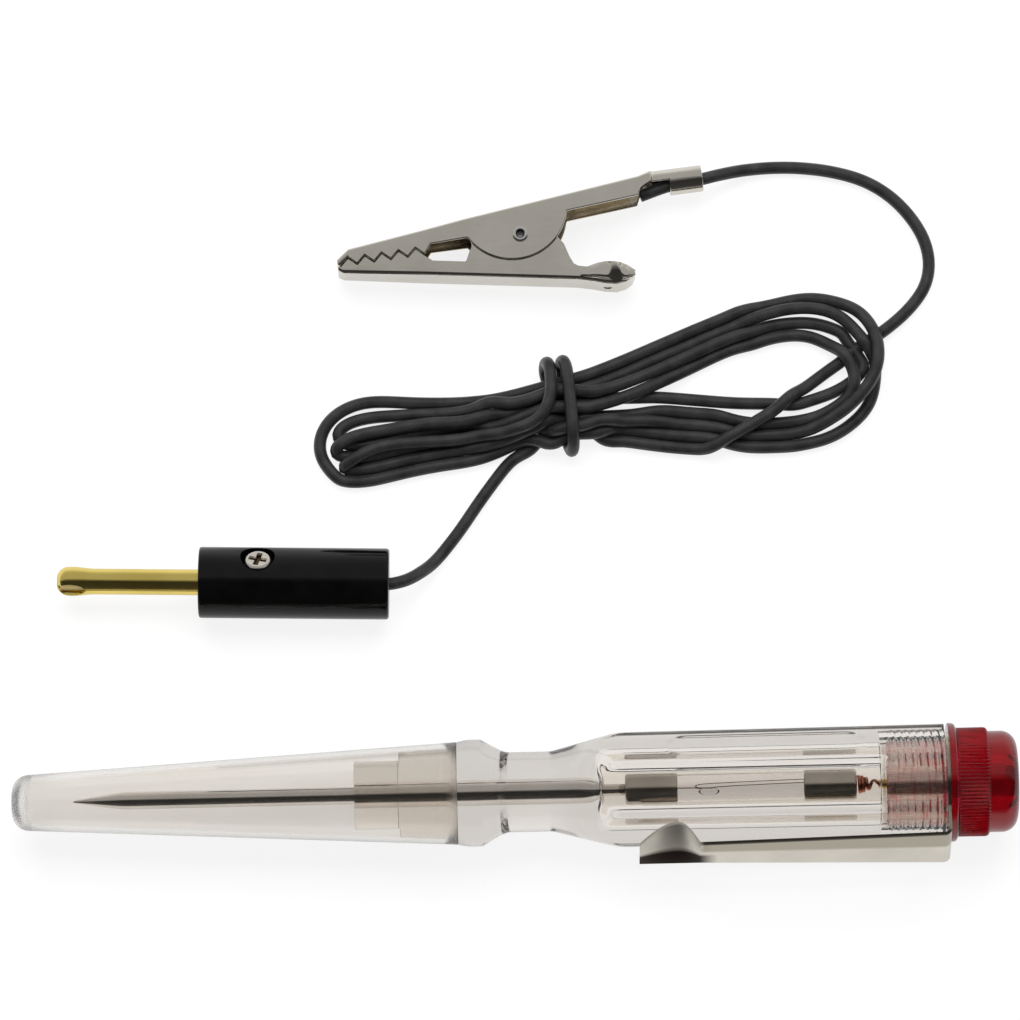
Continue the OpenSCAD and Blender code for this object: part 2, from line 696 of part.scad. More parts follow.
module clip_rivet() {
    r = rivet_d / 2;
    bore_r = rivet_bore_d / 2;
    head_r = r + 0.25;
    foot = -rivet_head_t;
    top = jaw_w + rivet_head_t;
    color([0.8, 0.79, 0.77]) on_clip() rotate_extrude() polygon([
        [bore_r, foot], [head_r, foot], [head_r, 0], [r, 0],
        [r, jaw_w], [head_r, jaw_w], [head_r, top], [bore_r, top]
    ]);
}

// Torsion spring: a coil round the rivet, with a leg that leaves it at a tangent under each handle
function leg_angle(p, side) = atan2(p[1], p[0]) + side * acos(spring_r / norm([p[0], p[1]]));
module clip_spring() {
    low = 2 * jaw_t + ear_gap + jaw_spring_wire + 0.3;
    high = jaw_w - low;
    r = jaw_spring_wire / 2;
    lower_end = [6.7, lower_web_y + lower_web_slope * 6.7 + jaw_t + r + 0.1, low];
    upper_end = [8.6, upper_web_y + web_slope * 8.6 - jaw_t - r, high];
    first = leg_angle(lower_end, 1);
    last = leg_angle(upper_end, -1) + 360 * jaw_spring_turns;
    steps = round((last - first) / 25);
    coil = [for (i = [0 : steps])
        let (a = first + (last - first) * i / steps)
        [spring_r * cos(a), spring_r * sin(a), low + (high - low) * i / steps]];
    color([0.6, 0.6, 0.62]) on_clip() tube_along(concat([lower_end], coil, [upper_end]), r, 6);
}

// Lead
module lead_tail_plug() {
    start = [for (z = [core_rear, -0.6])
        [plug_end[0] + z * cos(plug_yaw), plug_end[1] + z * sin(plug_yaw), plug_z]];
    color([0.05, 0.05, 0.05]) tube_along(concat(start, plug_tail), wire_d / 2);
}

module lead_tail_clip() {
    color([0.05, 0.05, 0.05]) tube_along(clip_tail, wire_d / 2);
}

module lead_hank() {
    color([0.06, 0.06, 0.06]) hull() {
        translate(hank_left) cylinder(h = hank_h, r = hank_left_r, $fn = 32);
        translate(hank_right) cylinder(h = hank_h, r = hank_right_r, $fn = 32);
    }
}

barrel();
probe();
probe_cover();
pocket_clip();
end_cap();
socket_contact();
contact_spring();
lamp_glass();
lamp_ferrule_front();
lamp_ferrule_rear();
lamp_filament();
plug_sleeve();
plug_core();
plug_pin();
plug_screw();
lead_tail_plug();
lead_hank();
lead_tail_clip();
clip_upper_jaw();
clip_lower_jaw();
clip_rivet();
clip_spring();
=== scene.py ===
"""Looks of the circuit tester and its lead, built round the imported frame. Lengths are in millimetres."""
import math
import bmesh
import bpy
import numpy as np
from mathutils import Matrix, Vector


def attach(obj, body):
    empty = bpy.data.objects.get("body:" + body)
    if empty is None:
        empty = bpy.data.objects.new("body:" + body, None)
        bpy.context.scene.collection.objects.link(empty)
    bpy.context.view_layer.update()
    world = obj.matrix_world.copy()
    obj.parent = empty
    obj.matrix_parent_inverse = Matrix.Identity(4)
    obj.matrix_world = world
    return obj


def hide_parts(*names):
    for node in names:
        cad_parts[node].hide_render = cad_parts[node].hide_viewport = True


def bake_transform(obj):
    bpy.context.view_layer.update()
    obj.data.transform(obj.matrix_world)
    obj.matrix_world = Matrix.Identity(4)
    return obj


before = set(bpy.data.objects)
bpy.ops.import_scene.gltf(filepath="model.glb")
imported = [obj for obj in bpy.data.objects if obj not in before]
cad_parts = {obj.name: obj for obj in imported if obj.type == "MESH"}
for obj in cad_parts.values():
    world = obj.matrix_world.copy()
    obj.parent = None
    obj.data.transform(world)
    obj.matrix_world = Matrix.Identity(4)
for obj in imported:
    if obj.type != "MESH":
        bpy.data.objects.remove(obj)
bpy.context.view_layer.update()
MM = 0.001


# Camera: 1 m over the set and 11.5 degrees off upright
def add_camera():
    eye = Vector((-4.230, -157.629, 984.925))
    aim = Vector((0.293, 41.688, 5.0))
    roll = math.radians(1.3)
    right = Vector((math.cos(roll), -math.sin(roll), 0))
    back = (eye - aim).normalized()
    turn = Matrix((right, back.cross(right), back)).transposed()
    data = bpy.data.cameras.new("camera")
    data.sensor_width = 36
    data.lens = 253.788
    data.clip_start = 0.01
    camera = bpy.data.objects.new("camera", data)
    camera.matrix_world = Matrix.Translation(eye * MM) @ turn.to_4x4()
    bpy.context.scene.collection.objects.link(camera)
    bpy.context.scene.camera = camera


add_camera()
bpy.context.scene.view_settings.view_transform = "Standard"

# Frames of the pen, the plug and the clip, as in the part's source: a point on each axis, and its turn
PEN = (-7.9, 1.444, 8.2)
PLUG_END = (-16.7, 31.6, 4.95)
PLUG_YAW = math.radians(-1.8)
CLIP_PIVOT = (2.6, 80.6, 0.25)
CLIP_YAW = math.radians(6.3)


def turned(origin, yaw, x, y, z):
    return (origin[0] + x * math.cos(yaw) - y * math.sin(yaw),
            origin[1] + x * math.sin(yaw) + y * math.cos(yaw), origin[2] + z)


def heading(yaw, x, y):
    return turned((0, 0, 0), yaw, x, y, 0)


def on_pen(u, y, z):
    return (PEN[0] + u, PEN[1] + y, PEN[2] + z)


def on_plug(u, y, z):
    return turned(PLUG_END, PLUG_YAW, u, y, z)


def on_clip(x, y, z):
    return turned(CLIP_PIVOT, CLIP_YAW, x, y, z)


# A place in a frame by its distance and angle from the frame's axis
def polar(place, u, r, a):
    return place(u, r * math.cos(a), r * math.sin(a))


# Lead: given points of its centre line, in runs named by where they lie in the hank
WIRE_D = 1.75
PLUG_RUN = [
    (-16.7, 31.6, 4.95), (-14.5, 32.2, 4.18), (-12.4, 33.5, 2.82), (-10.3, 35.4, 1.65), (-8.6, 37.4, 1.07),
    (-6.7, 39.8, 0.88), (-3.9, 43.8, 0.88), (-1.0, 47.6, 0.88), (1.2, 50.1, 0.88), (3.3, 52.0, 0.88),
    (5.4, 53.0, 1.94),
]
CLIP_RUN = [
    (19.6, 86.6, 3.35), (23.7, 88.0, 3.35), (28.4, 88.9, 3.3), (30.9, 89.6, 2.72), (34.5, 90.5, 1.46),
    (38.8, 90.9, 0.88), (43.0, 90.7, 0.88), (47.2, 90.0, 0.88), (51.4, 88.6, 0.88), (54.9, 86.3, 0.88),
    (57.6, 83.3, 0.88), (59.4, 80.0, 0.88), (60.0, 76.8, 0.88), (59.4, 73.5, 0.88), (57.6, 70.8, 0.88),
    (55.3, 68.5, 0.88),
]
LEFT_OUTER_TOP = [
    (-19.4, 58.3, 0.88), (-15.9, 58.3, 0.88), (-11.7, 58.0, 0.97), (-5.9, 57.8, 1.26), (-0.2, 58.5, 1.85),
    (4.2, 59.4, 2.53),
]
LEFT_OUTER_FOLD = [
    (-22.2, 57.5, 0.88), (-24.7, 55.7, 0.88), (-26.0, 53.1, 0.88), (-25.9, 50.8, 0.88),
    (-24.9, 49.1, 0.88), (-22.9, 47.7, 0.88),
]
LEFT_OUTER_BASE = [
    (-20.5, 47.5, 0.88), (-16.1, 48.4, 0.88), (-7.2, 50.2, 1.07), (-0.9, 51.4, 1.56), (4.0, 52.3, 2.33),
]
LEFT_SECOND_TOP = [
    (-19.0, 56.1, 1.17), (-15.9, 56.3, 1.26), (-11.7, 56.4, 1.75), (-5.9, 56.3, 2.43), (-0.2, 56.9, 3.31),
    (4.2, 57.9, 4.18),
]
LEFT_SECOND_FOLD = [
    (-21.5, 55.5, 1.17), (-23.2, 54.6, 0.88), (-23.8, 53.4, 0.88), (-22.8, 52.2, 0.88),
    (-20.7, 52.0, 0.88),
]
LEFT_SECOND_BASE = [
    (-17.7, 52.6, 0.88), (-13.4, 53.4, 0.88), (-9.2, 54.1, 1.17), (-3.6, 54.5, 2.14), (0.6, 54.9, 3.21),
    (4.1, 55.6, 4.18),
]
LEFT_THIRD_TOP = [
    (-20.0, 53.5, 2.62), (-14.8, 54.3, 2.62), (-9.2, 54.9, 2.72), (-2.9, 55.4, 2.72), (1.3, 56.3, 2.62),
    (4.6, 57.2, 2.62),
]
LEFT_THIRD_FOLD = [
    (-22.4, 52.7, 2.43), (-23.9, 51.7, 1.94), (-23.8, 50.7, 1.36), (-21.9, 50.2, 0.88),
]
LEFT_THIRD_BASE = [
    (-18.8, 50.5, 0.88), (-14.9, 51.4, 0.88), (-9.3, 52.3, 0.97), (-3.7, 52.8, 1.36), (0.6, 53.4, 1.94),
    (4.1, 54.8, 2.53),
]
LEFT_INNER_TOP = [
    (-19.5, 50.9, 2.62), (-16.0, 51.7, 2.62), (-8.8, 52.3, 2.72), (-3.1, 52.5, 3.21), (-0.4, 52.7, 4.08),
    (2.0, 53.3, 5.06), (4.2, 54.3, 5.93), (5.7, 56.1, 6.22), (6.3, 57.9, 6.22), (6.4, 60.2, 5.83),
]
LEFT_INNER_FOLD = [
    (-21.4, 50.1, 2.43), (-22.9, 49.5, 1.94), (-23.2, 49.1, 1.36), (-22.3, 48.7, 0.88),
]
LEFT_INNER_BASE = [
    (-20.2, 48.7, 0.88), (-16.0, 49.4, 0.88), (-8.3, 51.0, 1.07), (-2.6, 51.8, 2.04), (1.2, 52.4, 3.21),
    (4.3, 53.4, 4.18),
]
RIGHT_OUTER_TOP = [
    (11.2, 61.1, 2.62), (14.1, 62.3, 1.94), (20.6, 65.0, 0.97), (26.1, 67.3, 0.88), (30.9, 69.1, 0.88),
    (34.8, 70.3, 1.17), (38.6, 71.2, 1.56),
]
RIGHT_OUTER_FOLD = [
    (41.3, 71.6, 1.75), (43.7, 71.6, 1.94), (47.5, 70.8, 2.14), (50.0, 69.4, 2.62), (51.6, 67.0, 3.21),
    (52.3, 64.6, 3.89), (52.2, 62.0, 4.38),
]
RIGHT_OUTER_BASE = [
    (51.4, 59.8, 4.38), (49.3, 57.0, 4.08), (45.7, 54.7, 2.72), (41.9, 53.0, 1.75), (38.0, 52.3, 1.17),
    (34.3, 52.2, 0.88), (29.9, 52.9, 0.88), (24.4, 53.7, 1.17), (18.8, 54.2, 1.94), (13.8, 54.0, 3.31),
    (11.0, 53.7, 4.18),
]
RIGHT_SECOND_TOP = [
    (11.2, 59.5, 2.62), (14.0, 60.6, 1.94), (19.7, 63.0, 0.88), (26.1, 65.6, 0.88), (30.9, 67.5, 0.88),
    (34.7, 68.9, 1.94), (38.5, 69.9, 2.62),
]
RIGHT_SECOND_FOLD = [
    (41.6, 70.3, 2.62), (44.4, 70.1, 2.62), (47.2, 68.9, 2.53), (49.2, 67.0, 2.24), (50.6, 64.9, 1.85),
    (51.4, 63.1, 1.17), (51.8, 61.1, 0.88),
]
RIGHT_SECOND_BASE = [
    (51.7, 59.0, 0.88), (50.9, 56.5, 0.88), (48.8, 54.1, 0.88), (45.3, 51.9, 0.88), (41.0, 51.0, 0.88),
    (36.3, 51.3, 0.88), (32.0, 51.9, 0.88), (27.8, 52.8, 0.88), (21.6, 53.3, 0.88), (16.0, 53.4, 1.36),
    (11.7, 53.0, 2.33),
]
RIGHT_THIRD_TOP = [
    (11.2, 58.6, 4.28), (14.0, 59.0, 3.69), (19.1, 60.9, 2.62), (26.0, 63.7, 2.14), (31.1, 65.9, 2.14),
    (34.7, 67.2, 1.75), (38.1, 68.0, 1.17),
]
RIGHT_THIRD_FOLD = [
    (41.5, 68.4, 0.88), (44.7, 68.0, 0.88), (47.6, 66.5, 0.88), (49.6, 64.3, 0.88), (50.3, 62.3, 0.88),
]
RIGHT_THIRD_BASE = [
    (49.7, 60.7, 0.88), (47.9, 59.3, 0.88), (45.2, 58.0, 0.88), (41.3, 57.0, 0.88), (36.6, 56.9, 0.88),
    (31.9, 57.1, 0.88), (25.9, 57.7, 0.88), (20.3, 58.2, 1.17), (16.1, 58.1, 1.75), (11.8, 57.8, 2.53),
]
RIGHT_INNER_TOP = [
    (11.1, 56.3, 4.28), (14.6, 57.2, 3.69), (19.0, 58.8, 2.82), (22.4, 60.5, 2.14), (26.0, 62.3, 1.56),
    (31.1, 64.7, 0.88), (36.2, 66.2, 0.88),
]
RIGHT_INNER_FOLD = [
    (39.7, 66.6, 0.88), (43.1, 66.3, 1.17), (46.1, 64.6, 1.75), (48.2, 62.3, 2.53), (49.0, 60.0, 2.72),
    (48.5, 58.1, 2.62),
]
RIGHT_INNER_BASE = [
    (47.1, 56.4, 2.53), (44.4, 54.9, 1.75), (41.0, 54.0, 0.88), (37.0, 53.7, 0.88), (32.1, 54.1, 0.88),
    (27.2, 54.9, 0.88), (21.6, 55.6, 0.97), (16.7, 55.6, 1.65), (11.8, 55.2, 2.53),
]
CLIP_STRAND = [
    (52.9, 66.7, 0.88), (50.6, 65.0, 0.88), (47.8, 63.1, 0.88), (44.9, 61.1, 0.88), (42.2, 59.1, 1.36),
    (39.8, 57.2, 2.33), (37.5, 55.6, 2.72), (35.1, 54.1, 2.72), (32.4, 52.6, 2.53), (29.6, 51.7, 1.75),
    (25.7, 51.3, 0.88), (20.8, 51.8, 0.88), (16.2, 52.7, 0.88), (13.2, 53.5, 0.88),
]
TIE = [
    (11.1, 54.6, 0.88), (9.7, 56.6, 0.88), (8.7, 58.9, 0.88), (8.0, 61.4, 0.88), (7.8, 62.8, 1.75),
    (8.1, 63.1, 3.89), (8.5, 62.3, 5.83), (8.8, 60.0, 6.42), (9.0, 57.3, 6.42), (9.2, 54.7, 6.42),
    (9.3, 52.2, 6.03), (9.4, 50.8, 4.47), (9.1, 50.4, 2.72), (8.8, 51.5, 0.97), (8.1, 53.5, 0.88),
    (7.4, 56.4, 0.88), (6.4, 59.3, 0.88), (5.7, 61.8, 0.97), (5.6, 62.8, 2.33), (6.0, 63.0, 4.08),
    (6.3, 62.0, 5.44),
]


def backwards(*runs):
    return [p for run in runs for p in reversed(run)]


# One pass through the hank, from the plug to the clip; the single points are where a strand crosses the waist
def route():
    low, high = 2.62, 4.38
    return (
        PLUG_RUN
        + [(7.5, 53.5, high)] + backwards(RIGHT_OUTER_BASE, RIGHT_OUTER_FOLD, RIGHT_OUTER_TOP)
        + [(7.7, 60.3, low)] + backwards(LEFT_OUTER_TOP) + LEFT_OUTER_FOLD + LEFT_OUTER_BASE
        + [(7.5, 52.8, low)] + backwards(RIGHT_SECOND_BASE, RIGHT_SECOND_FOLD, RIGHT_SECOND_TOP)
        + [(7.7, 58.4, low)] + backwards(LEFT_THIRD_TOP) + LEFT_THIRD_FOLD + LEFT_THIRD_BASE
        + [(7.6, 56.6, low)] + backwards(RIGHT_THIRD_BASE, RIGHT_THIRD_FOLD, RIGHT_THIRD_TOP)
        + [(7.7, 58.9, high)] + backwards(LEFT_SECOND_TOP) + LEFT_SECOND_FOLD + LEFT_SECOND_BASE
        + [(7.6, 56.5, high)] + RIGHT_INNER_TOP + RIGHT_INNER_FOLD + RIGHT_INNER_BASE
        + [(7.6, 54.7, low)] + backwards(LEFT_INNER_BASE, LEFT_INNER_FOLD) + LEFT_INNER_TOP
        + backwards(TIE, CLIP_STRAND, CLIP_RUN)
    )


# Even points along a centripetal curve through the given ones
def smooth_line(points, spacing):
    p = np.array(points, float)
    p = np.vstack([2 * p[0] - p[1], p, 2 * p[-1] - p[-2]])
    fine = []
    for a, b, c, d in zip(p, p[1:], p[2:], p[3:]):
        t1 = np.linalg.norm(b - a) ** 0.5
        t2 = t1 + np.linalg.norm(c - b) ** 0.5
        t3 = t2 + np.linalg.norm(d - c) ** 0.5
        t = np.linspace(t1, t2, 24, endpoint=False)[:, None]
        ab = (t1 - t) / t1 * a + t / t1 * b
        bc = (t2 - t) / (t2 - t1) * b + (t - t1) / (t2 - t1) * c
        cd = (t3 - t) / (t3 - t2) * c + (t - t2) / (t3 - t2) * d
        abc = (t2 - t) / t2 * ab + t / t2 * bc
        bcd = (t3 - t) / (t3 - t1) * bc + (t - t1) / (t3 - t1) * cd
        fine.append((t2 - t) / (t2 - t1) * abc + (t - t1) / (t2 - t1) * bcd)
    fine = np.vstack(fine + [p[-2:-1]])
    return resample(fine, spacing)


def resample(line, spacing):
    run = np.r_[0, np.cumsum(np.linalg.norm(np.diff(line, axis=0), axis=1))]
    at = np.linspace(0, run[-1], int(round(run[-1] / spacing)) + 1)
    return np.column_stack([np.interp(at, run, line[:, k]) for k in range(3)])


# Lets the wire stiffen, settle and push itself apart until it lies on itself without passing through
def relax(line, steps=240, held_start=18, held_end=30):
    stiffen, recall, sink = 0.25, 0.02, 0.01
    home = line.copy()
    line = line.copy()
    count = len(line)
    held = np.r_[0:held_start, count - held_end:count]
    apart_by = math.ceil(2.6 * WIRE_D / np.linalg.norm(np.diff(line, axis=0), axis=1).mean())
    for step in range(steps):
        if step % 10 == 0:
            gaps = np.linalg.norm(line[:, None] - line[None], axis=2)
            one, two = np.nonzero(np.triu(gaps < 1.5 * WIRE_D, apart_by + 1))
        eased = line.copy()
        eased[2:-2] = (4 * (line[1:-3] + line[3:-1]) - line[:-4] - line[4:]) / 6
        line += stiffen * (eased - line) + recall * (home - line)
        line[:, 2] -= sink
        for _ in range(2):
            way = line[one] - line[two]
            gap = np.maximum(np.linalg.norm(way, axis=1), 1e-6)
            push = (0.5 * np.maximum(0, WIRE_D - gap) / gap)[:, None] * way
            move = np.zeros_like(line)
            hits = np.zeros(count)
            np.add.at(move, one, push)
            np.add.at(move, two, -push)
            np.add.at(hits, one, gap < WIRE_D)
            np.add.at(hits, two, gap < WIRE_D)
            line += move / np.maximum(1, hits * 0.6)[:, None]
            line[:, 2] = np.maximum(line[:, 2], WIRE_D / 2)
        line[held] = home[held]
    return line


# Faces between rows of points, each row a closed loop unless wrap_around is off
def grid_faces(rows, around, wrap_rows=False, wrap_around=True):
    faces = []
    for i in range(rows if wrap_rows else rows - 1):
        for k in range(around if wrap_around else around - 1):
            a, b = i * around + k, i * around + (k + 1) % around
            c, d = (i + 1) % rows * around + k, (i + 1) % rows * around + (k + 1) % around
            faces.append((a, b, d, c))
    return faces


def add_mesh(name, points, faces):
    data = bpy.data.meshes.new(name)
    data.from_pydata([Vector(p) * MM for p in points], [], faces)
    work = bmesh.new()
    work.from_mesh(data)
    bmesh.ops.recalc_face_normals(work, faces=work.faces)
    work.to_mesh(data)
    work.free()
    data.shade_smooth()
    obj = bpy.data.objects.new(name, data)
    bpy.context.scene.collection.objects.link(obj)
    return obj


# A skin over loops of points. A ring closes on its first loop, any other piece has two end faces
def add_loops(name, points, around, ring=False):
    faces = grid_faces(len(points) // around, around, wrap_rows=ring)
    if not ring:
        faces += [tuple(range(around)), tuple(range(len(points) - around, len(points)))]
    return add_mesh(name, points, faces)


# A round wire along a line of points, its cross-sections carried along without twist
def add_wire(name, line, radius, sides=14):
    way = np.gradient(line, axis=0)
    way /= np.linalg.norm(way, axis=1)[:, None]
    out = np.cross(way[0], (0, 0, 1) if abs(way[0][2]) < 0.9 else (1, 0, 0))
    angles = [math.tau * k / sides for k in range(sides)]
    points = []
    for here, along in zip(line, way):
        out = out - along * (out @ along)
        out /= np.linalg.norm(out)
        side = np.cross(along, out)
        points += [here + radius * (math.cos(a) * out + math.sin(a) * side) for a in angles]
    return add_loops(name, points, sides)


def add_lead():
    inside = [on_plug(-back, 0, 0) for back in (10, 7, 4, 1.5)]
    line = relax(smooth_line(inside + route(), 0.9))
    wire = add_wire("lead", smooth_line(line, 0.45), WIRE_D / 2)
    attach(wire, "tester")
    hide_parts("lead_tail_plug", "lead_hank", "lead_tail_clip")
    return wire, line


lead, lead_line = add_lead()

# Pen: stations along its axis from the collar's front face, its threads, and the turn of a facet in degrees
COVER_TIP = -61.2
FLARE, FLARE_TOP, BARREL_END = 13.0, 22.4, 67.1
CHAMBER, MOUTH = 19.5, 58.1
LAMP, LAMP_END, FERRULE = 23.0, 54.8, 6.4
SPIGOT, FLANGE, KNURL, DOME, CAP_END = 58.8, 67.5, 68.7, 73.0, 77.0
PITCH, MOUTH_R, SPIGOT_R = 1.0, 5.95, 5.58
FACET = 39

# Pocket clip: its sheet, the arm's inner face and length, the curl past it, and its turn round the pen
CLIP_T, ARM_IN, ARM_LEN, CURL = 0.4, 10.0, 34.0, 8.3
ARM_END = BARREL_END - ARM_LEN
POCKET_TURN = math.radians(69)

# Clamp screw: its station along the plug, its lean and its head
SCREW_AT, SCREW_R, SCREW_HEIGHT = -18.1, 1.9, 4.4
SCREW_LEAN = math.radians(38)
SCREW_AXIS = (0, math.sin(SCREW_LEAN), math.cos(SCREW_LEAN))
SCREW_TOP = tuple(p + SCREW_HEIGHT * v for p, v in zip(on_plug(SCREW_AT, 0, 0), SCREW_AXIS))

# Crocodile clip: how the thumb end and the handle widen along it
THUMB_SLOPE, HANDLE_SLOPE = 0.163, 0.117


# Materials
class Finish:
    """A Principled material in the making, with procedural patterns in the frame's own coordinates."""

    def __init__(self, name, **sockets):
        self.material = bpy.data.materials.new(name)
        self.material.use_nodes = True
        self.tree = self.material.node_tree
        self.shader = self.tree.nodes["Principled BSDF"]
        self.place = self.add("ShaderNodeTexCoord").outputs["Object"]
        for socket, value in sockets.items():
            self.shader.inputs[socket.replace("_", " ")].default_value = value

    def add(self, kind, **settings):
        node = self.tree.nodes.new(kind)
        for key, value in settings.items():
            setattr(node, key, value)
        return node

    def link(self, source, target):
        self.tree.links.new(source, target)

    # Noise with features of about this many millimetres along each axis
    def noise(self, size, detail=3.0):
        sizes = size if hasattr(size, "__len__") else (size, size, size)
        stretched = self.add("ShaderNodeMapping")
        stretched.inputs["Scale"].default_value = [1000 / s for s in sizes]
        self.link(self.place, stretched.inputs["Vector"])
        noise = self.add("ShaderNodeTexNoise")
        noise.inputs["Scale"].default_value = 1
        noise.inputs["Detail"].default_value = detail
        noise.inputs["Roughness"].default_value = 0.55
        self.link(stretched.outputs["Vector"], noise.inputs["Vector"])
        return noise.outputs["Fac"]

    def between(self, factor, low, high, start=0.3, end=0.7):
        span = self.add("ShaderNodeMapRange")
        span.inputs["From Min"].default_value = start
        span.inputs["From Max"].default_value = end
        span.inputs["To Min"].default_value = low
        span.inputs["To Max"].default_value = high
        self.link(factor, span.inputs["Value"])
        return span.outputs["Result"]

    def colours(self, factor, dark, light):
        ramp = self.add("ShaderNodeValToRGB")
        for stop, position, colour in zip(ramp.color_ramp.elements, (0.3, 0.7), (dark, light)):
            stop.position = position
            stop.color = (*colour, 1)
        self.link(factor, ramp.inputs["Fac"])
        self.link(ramp.outputs["Color"], self.shader.inputs["Base Color"])

    def rough(self, factor, low, high, start=0.3, end=0.7):
        self.link(self.between(factor, low, high, start, end), self.shader.inputs["Roughness"])

    # 0 to 1 along an axis through a point, or away from that axis, between two distances in millimetres
    def along(self, origin, axis, start, end, away=False):
        offset = self.add("ShaderNodeVectorMath", operation="SUBTRACT")
        offset.inputs[1].default_value = [v * MM for v in origin]
        self.link(self.place, offset.inputs[0])
        share = self.add("ShaderNodeVectorMath", operation="CROSS_PRODUCT" if away else "DOT_PRODUCT")
        share.inputs[1].default_value = axis
        self.link(offset.outputs["Vector"], share.inputs[0])
        if away:
            length = self.add("ShaderNodeVectorMath", operation="LENGTH")
            self.link(share.outputs["Vector"], length.inputs[0])
            share = length
        return self.between(share.outputs["Value"], 0, 1, start * MM, end * MM)

    # The sum or the product of two patterns
    def join(self, operation, one, two):
        node = self.add("ShaderNodeMath", operation=operation)
        self.link(one, node.inputs[0])
        self.link(two, node.inputs[1])
        return node.outputs[0]

    # 1 where all the masks are
    def all_of(self, first, *others):
        for mask in others:
            first = self.join("MULTIPLY", first, mask)
        return first

    # Another colour where the mask is 1
    def paint(self, mask, colour):
        mix = self.add("ShaderNodeMixRGB")
        self.link(self.shader.inputs["Base Color"].links[0].from_socket, mix.inputs["Color1"])
        mix.inputs["Color2"].default_value = (*colour, 1)
        self.link(mask, mix.inputs["Fac"])
        self.link(mix.outputs["Color"], self.shader.inputs["Base Color"])

    # More roughness where the mask is 1
    def frost(self, mask, amount):
        rough = self.shader.inputs["Roughness"]
        more = self.between(mask, 0, amount, 0, 1)
        self.link(self.join("ADD", rough.links[0].from_socket, more), rough)

    # Height in millimetres from one or more patterns
    def bump(self, *layers):
        normal = None
        for factor, height in layers:
            bump = self.add("ShaderNodeBump")
            bump.inputs["Distance"].default_value = height * MM
            self.link(factor, bump.inputs["Height"])
            if normal:
                self.link(normal, bump.inputs["Normal"])
            normal = bump.outputs["Normal"]
        self.link(normal, self.shader.inputs["Normal"])


def clear_plastic(name, dark, light, ior=1.49, roughness=0.02, clear=1.0, adapt=None):
    finish = Finish(name, IOR=ior, Transmission_Weight=clear)
    finish.colours(finish.noise((14, 3, 3)), dark, light)
    finish.rough(finish.noise((3, 0.6, 0.6), detail=5), roughness, roughness + 0.05, 0.45, 0.8)
    if adapt:
        adapt(finish)
    ripple = 0.004
    finish.bump((finish.noise((9, 1.6, 1.6), detail=2), ripple),
                (finish.noise(0.25, detail=2), ripple * 0.06))
    return finish.material


# Plated or drawn metal: fine grain along one axis, and a slow change of tone
def metal(name, dark, light, roughness=(0.12, 0.2), grain=(3, 0.08, 0.08), adapt=None):
    finish = Finish(name, Metallic=1.0)
    finish.colours(finish.noise(7), dark, light)
    finish.rough(finish.noise((2.5, 0.3, 0.3), detail=4), *roughness)
    if adapt:
        adapt(finish)
    relief = 0.0004
    finish.bump((finish.noise(grain), relief), (finish.noise(4.0, detail=2), relief * 6))
    return finish.material


def black_plastic(name, roughness, relief, size, tone, ior):
    finish = Finish(name, IOR=ior)
    finish.colours(finish.noise(2.2), (tone, tone, tone), (tone * 2, tone * 2, tone * 2.1))
    finish.rough(finish.noise(0.7, detail=6), *roughness)
    finish.bump((finish.noise(size, detail=4), relief), (finish.noise(3.0, detail=2), relief * 2))
    return finish.material


# The cover's closed end and its rim are frosted
def frosted_ends(finish):
    finish.frost(finish.along(on_pen(COVER_TIP, 0, 0), (1, 0, 0), 8, 1), 0.22)
    finish.frost(finish.along(PEN, (-1, 0, 0), 1.8, 0.2), 0.3)


# Painted light: the cap's spigot is painted paler than its head, with painted highlights along the thread's
# crests
def painted_light_spigot(finish):
    spigot = finish.along(on_pen(BARREL_END - 0.1, 0, 0), (-1, 0, 0), -0.1, 0.1)
    finish.paint(spigot, (0.9, 0.2, 0.18))
    crests = finish.between(finish.noise((0.35, 3.5, 3.5), detail=2), 0, 1, 0.34, 0.48)
    finish.paint(finish.all_of(spigot, crests), (1.0, 0.93, 0.92))
    finish.link(finish.between(spigot, 0.8, 0.88, 0, 1), finish.shader.inputs["Transmission Weight"])


# Painted light: the socket's outside, seen through the red plastic, is painted paler than its bore
def painted_light_socket_outside(finish):
    finish.paint(finish.along(PEN, (1, 0, 0), 2.3, 2.45, away=True), (0.95, 0.86, 0.83))


# Painted reflections on the pocket clip: the arm's upper half painted darker as a painted reflection, a
# painted shadow line along its upper edge, and a painted dark reflection low on its curled tip, which is also
# rougher
def painted_reflections_on_clip(finish):
    arm = finish.along(on_pen(ARM_END + 0.2, 0, 0), (1, 0, 0), -0.4, 0.4)
    upper = finish.along(on_pen(0, 0, 4.1), (0, 0, 1), -0.3, 0.3)
    finish.paint(finish.all_of(arm, upper), (0.42, 0.39, 0.31))
    tip = finish.along(on_pen(ARM_END + 1.2, 0, 0), (-1, 0, 0), -1.2, 1.2)
    finish.frost(tip, 0.3)
    low = finish.along(on_pen(0, 0, 3.3), (0, 0, -1), -0.3, 0.3)
    finish.paint(finish.all_of(tip, low), (0.03, 0.022, 0.018))
    edge = finish.along(on_pen(ARM_END, 0, 6), (-0.037, 0, 1), -0.3, -0.12)
    finish.paint(finish.all_of(arm, edge), (0.06, 0.05, 0.04))
